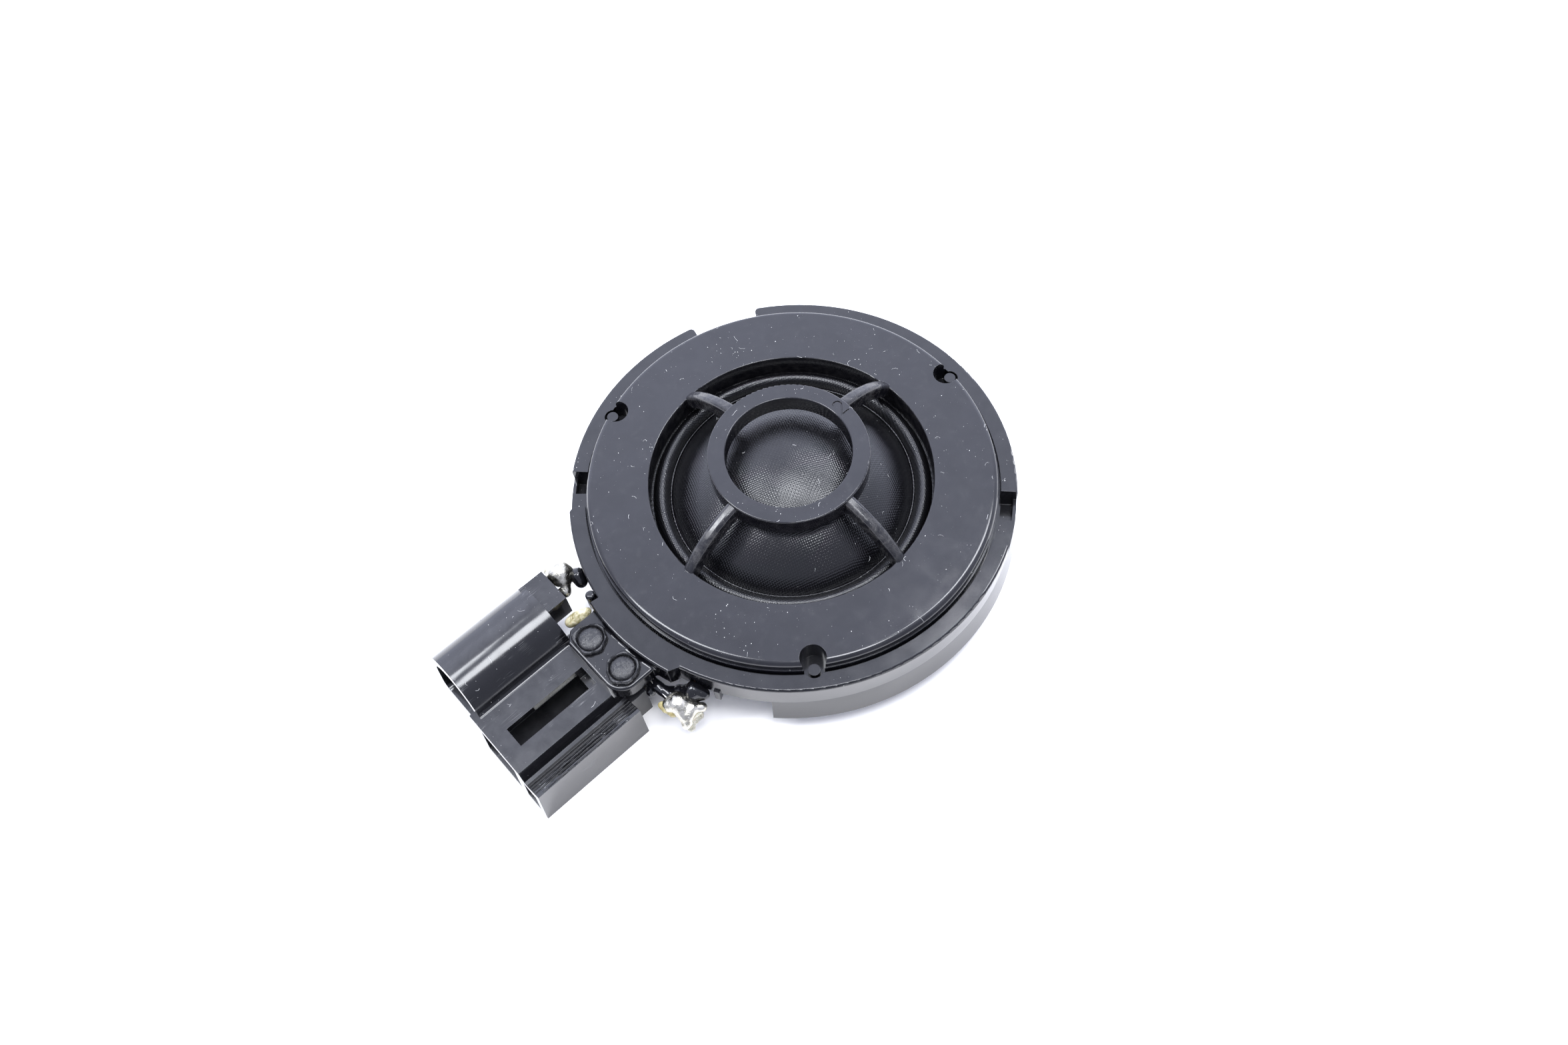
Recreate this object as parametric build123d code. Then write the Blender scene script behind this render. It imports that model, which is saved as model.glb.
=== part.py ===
from build123d import *
from math import cos, radians, sin, sqrt
import os

# One-inch soft-dome car tweeter with a moulded two-way connector.
# Millimetres. The listening axis is +Z through the origin, the magnet's rear
# face rests on z = 0, and the connector's mouth faces -X.
# Angles are measured about +Z from +X.

# Driving dimensions ----------------------------------------------------------

# Heights
PLATE_TOP = 10.0
PLATE_THICKNESS = 2.75
RIM_TOP = 8.6
RIM_BOTTOM = 5.8
LEDGE_TOP = 6.0
SKIRT_BOTTOM = 2.5
GUARD_TOP = 14.3
GUARD_THICKNESS = 2.0
DOME_TOP = 12.6

# Radii about the listening axis
COVER_R = 21.05
OPENING_R = 14.6
GUARD_OUTER_R = 8.13
GUARD_INNER_R = 6.35
RIM_OUTER_R = 23.08
RIM_INNER_R = 21.38
SKIRT_BOTTOM_R = 23.5
WIDE_RIM_R = 24.0
COIL_R = 12.65

# Magnet system
YOKE_R = 15.5
YOKE_FLOOR = 1.6
MAGNET_HEIGHT = 2.8
POLE_PLATE_HEIGHT = 1.5
GAP_CLEARANCE = 0.3
WINDING_BUILD = 0.3
FORMER_WALL = 0.15
FORMER_BOTTOM = 4.15
WINDING_HEIGHT = 2.0

# Angular layout, in degrees
SPOKE_ANGLES = [4, 94, 184, 274]
NOTCH_ANGLES = [-127, -7, 113]
# Each recess runs from its ledge's bevelled end to the end that is cut deep
RECESSES = [(143.5, 132.5), (-63, -48)]
RIM_GAP = (57.5, 75.5)
SKIRT_ARC = (-138, 149)
WIDE_RIM_ARC = (171, 197.5)
LEAD_ANGLES = {"left": 159.8, "right": 202.8}
SEAL_SIZES = {"left": (1.0, 0.8), "right": (1.1, 1.45)}

# Connector
BOX_TOP = 6.0
BARREL_Y = 7.2
BARREL_Z = 4.6
BARREL_R = 4.4
MOUTH_TILT = 5.0
CONNECTOR_REAR = -26.9
STAKE_PLACES = [(-25.95, 0.93), (-25.62, -3.63)]

# Derived sizes ---------------------------------------------------------------

PLATE_UNDERSIDE = PLATE_TOP - PLATE_THICKNESS
PLATE_FLOOR = YOKE_FLOOR + MAGNET_HEIGHT
POLE_TOP = PLATE_FLOOR + POLE_PLATE_HEIGHT
FORMER_INNER_R = COIL_R - FORMER_WALL
POLE_R = FORMER_INNER_R - GAP_CLEARANCE
WINDING_R = COIL_R + WINDING_BUILD
YOKE_BORE_R = WINDING_R + GAP_CLEARANCE

SURROUND_THICKNESS = 0.2
CLAMP_R = 17.8
POCKET_R = 17.95
SURROUND_ROLL_RISE = 0.9
DOME_WALL = 0.2
DOME_BASE_Z = 7.0
DOME_BASE_R = 12.74
DOME_RISE = DOME_TOP - DOME_BASE_Z
DOME_SPHERE_R = (DOME_BASE_R**2 + DOME_RISE**2) / (2 * DOME_RISE)

TAB_TOP = 7.7
TAB_Y = (-5.7, 3.2)
TAB_EDGE_X = -27.8

PARTS = {}


def polar(radius, angle, z=0.0):
    """Point at a radius and angle about the listening axis."""
    return Vector(radius * cos(radians(angle)), radius * sin(radians(angle)), z)


def tube(outer_r, inner_r, z_low, z_high):
    """Ring with square edges about the listening axis."""
    height = z_high - z_low
    ring = Cylinder(outer_r, height) - Cylinder(inner_r, height)
    return Pos(0, 0, (z_low + z_high) / 2) * ring


def disc(radius, z_low, z_high):
    """Plain disc about the listening axis."""
    return Pos(0, 0, (z_low + z_high) / 2) * Cylinder(radius, z_high - z_low)


def box(x_range, y_range, z_range):
    """Box between three pairs of limits."""
    lows = [min(r) for r in (x_range, y_range, z_range)]
    highs = [max(r) for r in (x_range, y_range, z_range)]
    size = [high - low for low, high in zip(lows, highs)]
    centre = [(high + low) / 2 for low, high in zip(lows, highs)]
    return Pos(*centre) * Box(*size)


def turned(points, start=0.0, sweep=360.0):
    """Solid turned about the listening axis from a closed outline of (r, z) points."""
    outline = Polyline([(r, 0, z) for r, z in points], close=True)
    profile = Rot(0, 0, start) * make_face(outline)
    return revolve(profile, Axis.Z, sweep)


def sector(inner_r, outer_r, z_low, z_high, arc):
    """Part of a ring between two angles."""
    corners = [(inner_r, z_low), (outer_r, z_low), (outer_r, z_high), (inner_r, z_high)]
    return turned(corners, arc[0], arc[1] - arc[0])


def circular_edges(shape, radius, z):
    """Edges of a round rim at one radius and height."""
    found = shape.edges().filter_by(GeomType.CIRCLE)
    return [e for e in found if abs(e.radius - radius) < 0.01 and abs(e.center().Z - z) < 0.01]


# Front cover -----------------------------------------------------------------

STEP_R = 21.18
STEP_TOP = 9.0
NOTCH_R = 1.3
NOTCH_CENTRE_R = 20.3
PEG_R = 0.6
PEG_CENTRE_R = 21.0
PEG_RELIEF_R = 0.85
PLATE_EDGE_FILLET = 0.6
OPENING_FILLET = 0.12
GUARD_FILLET = 0.15
SPOKE_WIDTH = 1.3
SPOKE_CROWN_FILLET = 0.45
# Heights of a spoke's top and underside at the ring, at its middle and at the plate
SPOKE_MIDDLE_R = 11.5
SPOKE_TOP = (14.15, 12.85, 9.95)
SPOKE_UNDERSIDE = (12.4, 11.0, 8.0)
CAVITY_NUMBER_HEIGHT = 1.6
CAVITY_NUMBER_STROKE = 0.15
CAVITY_NUMBER_DEPTH = 0.15
CAVITY_NUMBER_ANGLE = 1.5


def spoke():
    """Arched rib from the guard ring down to the edge of the opening."""
    radii = (GUARD_OUTER_R - 0.6, SPOKE_MIDDLE_R, OPENING_R + 0.35)
    crest = [(r, 0, z) for r, z in zip(radii, SPOKE_TOP)]
    belly = [(r, 0, z) for r, z in zip(radii, SPOKE_UNDERSIDE)]
    top = ThreePointArc(*crest)
    end = Line(crest[-1], belly[-1])
    underside = ThreePointArc(*reversed(belly))
    root = Line(belly[0], crest[0])
    profile = make_face([top, end, underside, root])
    rib = extrude(profile, SPOKE_WIDTH / 2, (0, 1, 0), both=True)
    long_edges = rib.edges().filter_by(lambda e: e.length > SPOKE_WIDTH * 3)
    crown = long_edges.sort_by(Axis.Z)[-2:]
    return fillet(crown, SPOKE_CROWN_FILLET)


def numeral_two(height, stroke):
    """Outline strokes of a plain 2, used as the mould's cavity number."""
    bowl_r = height * 0.27
    bowl_y = height / 2 - bowl_r
    bowl = CenterArc((0, bowl_y), bowl_r, 160, -205)
    neck = bowl @ 1
    foot = Vector(-bowl_r, -height / 2)
    diagonal = Line(neck, foot)
    base = Line(foot, Vector(bowl_r * 1.1, -height / 2))
    return trace([bowl, diagonal, base], stroke)


def front_cover():
    """Plate with a round opening, spoked guard ring and three rim notches."""
    plate = turned(
        [
            (OPENING_R, PLATE_UNDERSIDE),
            (STEP_R, PLATE_UNDERSIDE),
            (STEP_R, STEP_TOP),
            (COVER_R, STEP_TOP),
            (COVER_R, PLATE_TOP),
            (OPENING_R, PLATE_TOP),
        ]
    )
    for angle in NOTCH_ANGLES:
        hole = Cylinder(NOTCH_R, PLATE_THICKNESS * 3)
        plate -= Pos(polar(NOTCH_CENTRE_R, angle, PLATE_TOP)) * hole
    plate = fillet(circular_edges(plate, COVER_R, PLATE_TOP), PLATE_EDGE_FILLET)
    plate = fillet(circular_edges(plate, OPENING_R, PLATE_TOP), OPENING_FILLET)
    guard = tube(GUARD_OUTER_R, GUARD_INNER_R, GUARD_TOP - GUARD_THICKNESS, GUARD_TOP)
    for radius in (GUARD_OUTER_R, GUARD_INNER_R):
        guard = fillet(circular_edges(guard, radius, GUARD_TOP), GUARD_FILLET)
    cover = plate + guard
    for angle in SPOKE_ANGLES:
        cover += Rot(0, 0, angle) * spoke()
    mark_r = (GUARD_OUTER_R + GUARD_INNER_R) / 2
    mark_place = Pos(polar(mark_r, CAVITY_NUMBER_ANGLE, GUARD_TOP))
    strokes = numeral_two(CAVITY_NUMBER_HEIGHT, CAVITY_NUMBER_STROKE)
    return cover - mark_place * extrude(strokes, CAVITY_NUMBER_DEPTH, both=True)


# Basket ----------------------------------------------------------------------

DECK_BOTTOM = 4.6
DECK_STEP_R = 19.3
COLLAR_R = 16.8
COLLAR_BOTTOM = 1.0
SKIRT_WALL = 1.2
RIB_COUNT = 7
RIB_WIDTH = 0.8
RIB_FOOT = 3.4
RECESS_LEDGE = 7.1
RECESS_BEVEL = 0.65
RIM_TOP_FILLET = 0.25
RIM_GAP_FILLET = 0.5
TAB_LOWER_CORNER_R = 2.0
TAB_UPPER_CHAMFER = 0.9
TAB_EDGE_FILLET = 0.3
LEAD_CHANNEL_WIDTH = 0.7
LEAD_CHANNEL_Z = (6.1, 6.8)
GATE_NUB_AT = (-23.1, 4.5)
GATE_NUB_R = 0.5
# The widened rim's end slopes back to the round rim at the second angle
GUSSET_ANGLES = (197.3, 199.4)
WEB_ARC = (207.9, 209.4)
WEB_FOOT = 4.4


def skirt():
    """Slightly flared wall that hangs below the rim round most of the basket."""
    outline = [
        (RIM_OUTER_R - SKIRT_WALL, RIM_BOTTOM),
        (RIM_OUTER_R, RIM_BOTTOM),
        (SKIRT_BOTTOM_R, SKIRT_BOTTOM),
        (SKIRT_BOTTOM_R - SKIRT_WALL, SKIRT_BOTTOM),
    ]
    return turned(outline, SKIRT_ARC[0], SKIRT_ARC[1] - SKIRT_ARC[0])


def stiffening_ribs():
    """Radial ribs between the magnet collar and the skirt."""
    rib_length = RIM_OUTER_R - SKIRT_WALL / 2 - COLLAR_R
    rib_middle = COLLAR_R + rib_length / 2 - 0.2
    spacing = (SKIRT_ARC[1] - SKIRT_ARC[0]) / RIB_COUNT
    ribs = []
    for index in range(RIB_COUNT):
        angle = SKIRT_ARC[0] + spacing * (index + 0.5)
        half_width = RIB_WIDTH / 2
        blade = box(
            (-rib_length / 2, rib_length / 2), (-half_width, half_width), (RIB_FOOT, RIM_BOTTOM + 0.1)
        )
        ribs.append(Rot(0, 0, angle) * Pos(rib_middle, 0, 0) * blade)
    return ribs


def connector_tab():
    """Flat ear under the widened rim that carries the connector's two stakes."""
    tab = box((TAB_EDGE_X, -20), TAB_Y, (LEDGE_TOP, TAB_TOP))
    corners = tab.edges().filter_by(Axis.Z).sort_by(Axis.X)[0:2]
    lower, upper = ShapeList(corners).sort_by(Axis.Y)
    tab = fillet(lower, TAB_LOWER_CORNER_R)
    upper = tab.edges().filter_by(Axis.Z).sort_by(Axis.X)[0:3].sort_by(Axis.Y)[-1]
    tab = chamfer(upper, TAB_UPPER_CHAMFER)
    top_edges = tab.faces().sort_by(Axis.Z)[-1].edges()
    tab = fillet([e for e in top_edges if e.center().X < -WIDE_RIM_R], TAB_EDGE_FILLET)
    return tab - disc(RIM_INNER_R + 0.4, 0, PLATE_TOP)


def rim():
    """Upstanding outer wall round the cover, broken by the wide gap at the back."""
    wall = tube(RIM_OUTER_R, RIM_INNER_R, RIM_BOTTOM, RIM_TOP)
    wall -= sector(RIM_INNER_R - 1, RIM_OUTER_R + 1, LEDGE_TOP, RIM_TOP + 1, RIM_GAP)
    for angle in RIM_GAP:
        wall = fillet(upright_edges(wall, RIM_OUTER_R, angle), RIM_GAP_FILLET)
    outer = [e for e in wall.edges() if e.center().Z > RIM_TOP - 0.01 and is_outside_rim(e)]
    return fillet(outer, RIM_TOP_FILLET)


def upright_edges(shape, radius, angle):
    """Vertical edges at one radius and angle."""
    place = polar(radius, angle)
    found = shape.edges().filter_by(Axis.Z)
    return [e for e in found if (Vector(e.center().X, e.center().Y, 0) - place).length < 0.02]


def is_outside_rim(edge):
    """Whether an edge lies beyond the middle of the rim's wall."""
    middle = edge @ 0.5
    return sqrt(middle.X**2 + middle.Y**2) > (RIM_OUTER_R + RIM_INNER_R) / 2


def cut_recess(frame, ledge_end, hole_end):
    """Twist-lock recess: a shallow ledge that drops into a square hole at one end."""
    low, high = sorted((ledge_end, hole_end))
    hole_edge = hole_end + (ledge_end - hole_end) * 0.42
    hole_arc = sorted((hole_edge, hole_end))
    frame -= sector(RIM_INNER_R - 0.01, 26, RECESS_LEDGE, 12, (low, high))
    frame -= sector(RIM_INNER_R + 0.1, RIM_OUTER_R - 0.35, LEDGE_TOP, 12, hole_arc)
    corner = Pos(polar(RIM_OUTER_R, ledge_end, RECESS_LEDGE + 2.5)) * Rot(0, 0, ledge_end + 45)
    return frame - corner * Box(RECESS_BEVEL, RECESS_BEVEL, 5)


def rim_details():
    """Gate nub, sloped end of the widened rim, and the small web beside the right seal."""
    nub_height = RIM_TOP - LEDGE_TOP
    nub = Pos(*GATE_NUB_AT, LEDGE_TOP + nub_height / 2) * Cylinder(GATE_NUB_R, nub_height)
    nub = fillet(nub.edges().group_by(Axis.Z)[-1], GATE_NUB_R * 0.6)
    start, end = GUSSET_ANGLES
    corners = [
        polar(WIDE_RIM_R, start, RIM_BOTTOM),
        polar(RIM_OUTER_R - 0.1, end, RIM_BOTTOM),
        polar(RIM_INNER_R + 0.6, start, RIM_BOTTOM),
    ]
    gusset = extrude(make_face(Polyline(corners, close=True)), RIM_TOP - RIM_BOTTOM, (0, 0, 1))
    web = sector(RIM_OUTER_R - 0.9, RIM_OUTER_R + 0.2, WEB_FOOT, RIM_BOTTOM + 0.5, WEB_ARC)
    return [nub, gusset, web]


def basket():
    """Moulded frame: rim, cover seat, diaphragm pocket, magnet collar, skirt and tab."""
    frame = turned(
        [
            (YOKE_R + 0.05, DECK_BOTTOM),
            (DECK_STEP_R, DECK_BOTTOM),
            (DECK_STEP_R, RIM_BOTTOM),
            (RIM_INNER_R + 0.5, RIM_BOTTOM),
            (RIM_INNER_R + 0.5, LEDGE_TOP),
            (RIM_INNER_R, LEDGE_TOP),
            (RIM_INNER_R, PLATE_UNDERSIDE),
            (POCKET_R, PLATE_UNDERSIDE),
            (POCKET_R, LEDGE_TOP),
            (YOKE_R + 0.05, LEDGE_TOP),
        ]
    )
    frame += rim()
    for ledge_end, hole_end in RECESSES:
        frame = cut_recess(frame, ledge_end, hole_end)
    frame += tube(COLLAR_R, YOKE_R + 0.05, COLLAR_BOTTOM, DECK_BOTTOM + 0.2)
    frame += skirt()
    for rib in stiffening_ribs():
        frame += rib
    frame += sector(RIM_OUTER_R - 0.6, WIDE_RIM_R, LEDGE_TOP, RIM_TOP, WIDE_RIM_ARC)
    frame += connector_tab()
    seam = [e for e in circular_edges(frame, WIDE_RIM_R, TAB_TOP) if e.length > 3]
    frame = fillet(seam, TAB_EDGE_FILLET)
    crest = [e for e in circular_edges(frame, WIDE_RIM_R, RIM_TOP) if e.length > 3]
    frame = fillet(crest, RIM_TOP_FILLET)
    for detail in rim_details():
        frame += detail
    for angle in NOTCH_ANGLES:
        frame -= Pos(polar(PEG_CENTRE_R, angle, PLATE_UNDERSIDE + 3)) * Cylinder(PEG_RELIEF_R, 6)
    for angle in LEAD_ANGLES.values():
        frame -= Rot(0, 0, angle) * lead_channel(POCKET_R - 0.5, WIDE_RIM_R + 1)
    for place in STAKE_PLACES:
        frame -= Pos(*place, TAB_TOP) * Cylinder(STAKE_SHANK_R, 8)
    return frame


def lead_channel(inner_r, outer_r):
    """Radial slot that a coil lead runs through, before it is turned to the lead's angle."""
    half_width = LEAD_CHANNEL_WIDTH / 2
    return box((inner_r, outer_r), (-half_width, half_width), LEAD_CHANNEL_Z)


def locating_pegs():
    """Three small pegs that stand in the cover's rim notches."""
    height = RIM_TOP - PLATE_UNDERSIDE
    middle = PLATE_UNDERSIDE + height / 2
    return [Pos(polar(PEG_CENTRE_R, angle, middle)) * Cylinder(PEG_R, height) for angle in NOTCH_ANGLES]


# Diaphragm and voice coil ----------------------------------------------------


def diaphragm_dome():
    """Thin spherical cap glued to the top of the voice-coil former."""
    centre = Pos(0, 0, DOME_TOP - DOME_SPHERE_R)
    shell = centre * (Sphere(DOME_SPHERE_R) - Sphere(DOME_SPHERE_R - DOME_WALL))
    return shell & disc(DOME_BASE_R + 1, DOME_BASE_Z, DOME_TOP + 1)


def surround():
    """Half-roll suspension with a flat outer clamping flange."""
    z_top = PLATE_UNDERSIDE
    z_low = z_top - SURROUND_THICKNESS
    roll_in = DOME_BASE_R + 0.05
    roll_out = OPENING_R - 0.1
    crest_r = (roll_in + roll_out) / 2
    crest_z = z_top + SURROUND_ROLL_RISE
    wall = SURROUND_THICKNESS
    upper = ThreePointArc((roll_in, 0, z_top), (crest_r, 0, crest_z), (roll_out, 0, z_top))
    lower_start = (roll_out - wall, 0, z_low)
    lower_end = (roll_in + wall, 0, z_low)
    lower = ThreePointArc(lower_start, (crest_r, 0, crest_z - wall), lower_end)
    flange = Polyline([(roll_out, 0, z_top), (CLAMP_R, 0, z_top), (CLAMP_R, 0, z_low), lower_start])
    lip = Polyline([lower_end, (roll_in, 0, z_low), (roll_in, 0, z_top)])
    return revolve(make_face([upper, flange, lower, lip]), Axis.Z)


def diaphragm_ring():
    """Flat ring that clamps the surround against the cover's underside."""
    ring = tube(CLAMP_R, OPENING_R + 0.1, LEDGE_TOP, PLATE_UNDERSIDE - SURROUND_THICKNESS)
    for angle in LEAD_ANGLES.values():
        slot = lead_channel(OPENING_R - 1, CLAMP_R + 1)
        ring -= Rot(0, 0, angle) * (slot + Pos(0, 0, LEDGE_TOP - LEAD_CHANNEL_Z[0]) * slot)
    return ring


def voice_coil_former():
    """Thin cylinder that joins the winding to the dome."""
    return tube(COIL_R, FORMER_INNER_R, FORMER_BOTTOM, DOME_BASE_Z)


def voice_coil():
    """Copper winding on the lower end of the former."""
    return tube(WINDING_R, COIL_R, FORMER_BOTTOM, FORMER_BOTTOM + WINDING_HEIGHT)


LEAD_WIRE_R = 0.15
LEAD_BEND_R = 0.6
LEAD_START = (13.25, 6.85)
LEAD_RUN_START_R = 14.2
LEAD_Z = 6.45
LEAD_END_R = 23.0


def coil_lead(angle):
    """Flexible lead from beside the winding, through the basket, to the rim's outside."""
    route = [LEAD_START, (LEAD_RUN_START_R, LEAD_Z), (LEAD_END_R, LEAD_Z)]
    path = FilletPolyline([polar(r, angle, z) for r, z in route], radius=LEAD_BEND_R)
    section = Plane(path @ 0, z_dir=path % 0) * Circle(LEAD_WIRE_R)
    return sweep(section, path)


# Magnet system ---------------------------------------------------------------


YOKE_CHAMFER = 0.4
POLE_CHAMFER = 0.2
MAGNET_MARGIN = 0.4
FELT_R = 9.0
FELT_THICKNESS = 1.0


def yoke():
    """Steel cup that closes the magnetic circuit; its rear face is the part's foot."""
    cup = disc(YOKE_R, 0, POLE_TOP) - disc(YOKE_BORE_R, YOKE_FLOOR, POLE_TOP + 1)
    return chamfer(circular_edges(cup, YOKE_R, 0), YOKE_CHAMFER)


def magnet():
    """Neodymium disc."""
    return disc(POLE_R - MAGNET_MARGIN, YOKE_FLOOR, PLATE_FLOOR)


def pole_plate():
    """Steel disc that forms the inner side of the coil gap."""
    plate = disc(POLE_R, PLATE_FLOOR, POLE_TOP)
    return chamfer(circular_edges(plate, POLE_R, POLE_TOP), POLE_CHAMFER)


def damping_felt():
    """Felt pad under the dome."""
    pad_top = POLE_TOP + FELT_THICKNESS
    pad = disc(FELT_R, POLE_TOP, pad_top)
    return fillet(circular_edges(pad, FELT_R, pad_top), FELT_THICKNESS * 0.4)


# Connector -------------------------------------------------------------------

STAKE_SHANK_R = 0.9
STAKE_HEAD_R = 1.55
STAKE_HEAD_HEIGHT = 0.6
STAKE_HEAD_FILLET = 0.25
STAKE_DISH_R = 1.3
STAKE_DISH_DEPTH = 0.3
STAKE_CROWN_R = 1.05
BOX_Y = (-4.2, 3.3)
SIDE_WALL_Y = -7.3
SIDE_WALL_TOP = 5.8
# The valley between the side wall and the box: its two ends, in from the side wall's face
VALLEY_SIDE = (2.1, 4.9)
VALLEY_BOX = (2.45, 4.95)
MOUTH_X_BOX = -39.25
MOUTH_X_BARREL = -38.6
MOULD_LENGTH_X = -42
SLOT_X = (-37.4, -28.2)
SLOT_Y = (-2.15, 0.15)
CAVITY_END = -28.9
CAVITY_BOX = ((-3.3, 2.1), (0.9, 5.1))
CAVITY_SIDE = ((-6.5, -4.5), (1.1, 4.2))
BARREL_WALL = 1.0
BARREL_FOOT = 0.2
BARREL_CAVITY_FLOOR = 1.3
BARREL_SEAM_FILLET = 0.45
REAR_BLOCK_END_X = -25.0
REAR_LOW_BLOCK = ((-5.6, 2.9), (0, 4.6))
REAR_HIGH_BLOCK = ((-4.6, 2.9), (4.6, BOX_TOP))
REAR_STEP_BLOCK = ((5.95, 10.05), (5.3, 8.35))
RIDGE_COUNT = 4
RIDGE_PITCH = 0.36
RIDGE_FIRST = (0.6, 5.62)
RIDGE_FALL = 0.185
RIDGE_SIZE = 0.16
RIDGE_LENGTH = 20
RIDGE_MIDDLE_X = -34

# Contacts
CONTACT_TIP_X = -34.0
CONTACT_BEND_X = (-28.4, -27.9)
CONTACT_THICKNESS = 0.5
LEFT_BLADE_Y = (6.7, 7.7)
LEFT_BLADE_Z = 4.35
LEFT_TAIL_Y = (7.9, 8.7)
LEFT_TAIL_Z = (6.8, 7.2)
LEFT_TAIL_END_X = -23.7
RIGHT_BLADE_Y = (-1.75, -0.95)
RIGHT_BLADE_Z = 2.3
RIGHT_STEP_Y = (-4.9, -4.1)
RIGHT_POST_X = (-24.2, -23.8)
RIGHT_ARM_Z = (5.2, 5.6)
RIGHT_ARM_END_Y = -9.6


def behind_mouth(mouth_x):
    """Half space behind a mouth face that leans out towards its foot."""
    block = box((0, 40), (-20, 20), (-20, 20))
    return Pos(mouth_x, 0, BOX_TOP) * Rot(0, MOUTH_TILT, 0) * block


def along_x(points, x_low, x_high):
    """Prism along X from a closed outline of (y, z) points."""
    outline = Polyline([(x_low, y, z) for y, z in points], close=True)
    return extrude(make_face(outline), x_high - x_low, (1, 0, 0))


def barrel_section(radius, x_low, x_high, z_low):
    """Round-topped, flat-sided prism on the barrel's axis."""
    length = x_high - x_low
    middle = Pos((x_low + x_high) / 2, BARREL_Y, BARREL_Z)
    crown = middle * Rot(0, 90, 0) * Cylinder(radius, length)
    foot = box((x_low, x_high), (BARREL_Y - radius, BARREL_Y + radius), (z_low, BARREL_Z))
    foot = fillet(foot.edges().filter_by(Axis.X).group_by(Axis.Z)[0], radius * 0.3)
    return (crown & box((x_low, x_high), (-20, 20), (BARREL_Z, 20))) + foot


def connector_body():
    """Outside of the socket: flat box with its side wall, and the round-topped barrel."""
    box_edge_y = BOX_Y[1] + 0.5
    outline = [
        (box_edge_y, 0),
        (SIDE_WALL_Y, 0),
        (SIDE_WALL_Y, SIDE_WALL_TOP),
        (SIDE_WALL_Y + RIDGE_PITCH, SIDE_WALL_TOP - 0.05),
        (SIDE_WALL_Y + VALLEY_SIDE[0], VALLEY_SIDE[1]),
        (SIDE_WALL_Y + VALLEY_BOX[0], VALLEY_BOX[1]),
        (BOX_Y[0], BOX_TOP),
        (box_edge_y, BOX_TOP),
    ]
    body = along_x(outline, MOULD_LENGTH_X, CONNECTOR_REAR) & behind_mouth(MOUTH_X_BOX)
    barrel = barrel_section(BARREL_R, MOULD_LENGTH_X, CONNECTOR_REAR - 0.4, BARREL_FOOT)
    body += barrel & behind_mouth(MOUTH_X_BARREL)
    seam_y = BARREL_Y - sqrt(BARREL_R**2 - (BOX_TOP - BARREL_Z) ** 2)
    lengthwise = body.edges().filter_by(Axis.X)
    seam = [e for e in lengthwise if abs(e.center().Z - BOX_TOP) < 0.05 and abs(e.center().Y - seam_y) < 0.05]
    return fillet(seam, BARREL_SEAM_FILLET)


def connector_housing():
    """Two-way socket: round-topped barrel, flat box with a latch slot, and a side wall."""
    body = connector_body()
    rear_x = (CONNECTOR_REAR - 1, REAR_BLOCK_END_X)
    body += box(rear_x, *REAR_LOW_BLOCK)
    body += box(rear_x, *REAR_HIGH_BLOCK)
    body += box(rear_x, *REAR_STEP_BLOCK)
    inside_x = (MOULD_LENGTH_X, CAVITY_END)
    body -= barrel_section(BARREL_R - BARREL_WALL, *inside_x, BARREL_CAVITY_FLOOR)
    body -= box(inside_x, *CAVITY_BOX)
    body -= box(inside_x, *CAVITY_SIDE)
    body -= box(SLOT_X, SLOT_Y, (CAVITY_BOX[1][1] - 1, BOX_TOP + 1))
    for index in range(RIDGE_COUNT):
        ridge_y = SIDE_WALL_Y + RIDGE_FIRST[0] + index * RIDGE_PITCH
        ridge_z = RIDGE_FIRST[1] - index * RIDGE_FALL
        groove = Rot(45, 0, 0) * Box(RIDGE_LENGTH, RIDGE_SIZE, RIDGE_SIZE)
        body -= Pos(RIDGE_MIDDLE_X, ridge_y, ridge_z) * groove
    for terminal in (left_terminal(), right_terminal()):
        body -= terminal
    return body


def heat_stake():
    """Post from the connector, headed over the tab, with a dished head round a low crown."""
    shank_height = TAB_TOP - BOX_TOP
    shank = Pos(0, 0, BOX_TOP + shank_height / 2) * Cylinder(STAKE_SHANK_R, shank_height)
    head_middle = TAB_TOP + STAKE_HEAD_HEIGHT / 2
    head = Pos(0, 0, head_middle) * Cylinder(STAKE_HEAD_R, STAKE_HEAD_HEIGHT)
    head = fillet(head.edges().group_by(Axis.Z)[-1], STAKE_HEAD_FILLET)
    dish_sphere_r = (STAKE_DISH_R**2 + STAKE_DISH_DEPTH**2) / (2 * STAKE_DISH_DEPTH)
    head -= Pos(0, 0, head_middle + dish_sphere_r) * Sphere(dish_sphere_r)
    crown = Pos(0, 0, head_middle) * Cylinder(STAKE_CROWN_R, STAKE_HEAD_HEIGHT * 0.7)
    crown = fillet(crown.edges().group_by(Axis.Z)[-1], STAKE_HEAD_FILLET * 0.8)
    return shank + head + crown


def heat_stakes():
    """The two stakes that hold the connector to the tab."""
    return [Pos(*place, 0) * heat_stake() for place in STAKE_PLACES]


def left_terminal():
    """Stamped contact in the barrel, stepped up to its solder tail."""
    blade_z = (LEFT_BLADE_Z, LEFT_BLADE_Z + CONTACT_THICKNESS)
    blade = box((CONTACT_TIP_X, CONTACT_BEND_X[0]), LEFT_BLADE_Y, blade_z)
    riser = box(CONTACT_BEND_X, (LEFT_BLADE_Y[0], LEFT_TAIL_Y[1]), (LEFT_BLADE_Z, LEFT_TAIL_Z[1]))
    tail = box((CONTACT_BEND_X[1], LEFT_TAIL_END_X), LEFT_TAIL_Y, LEFT_TAIL_Z)
    return blade + riser + tail


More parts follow.
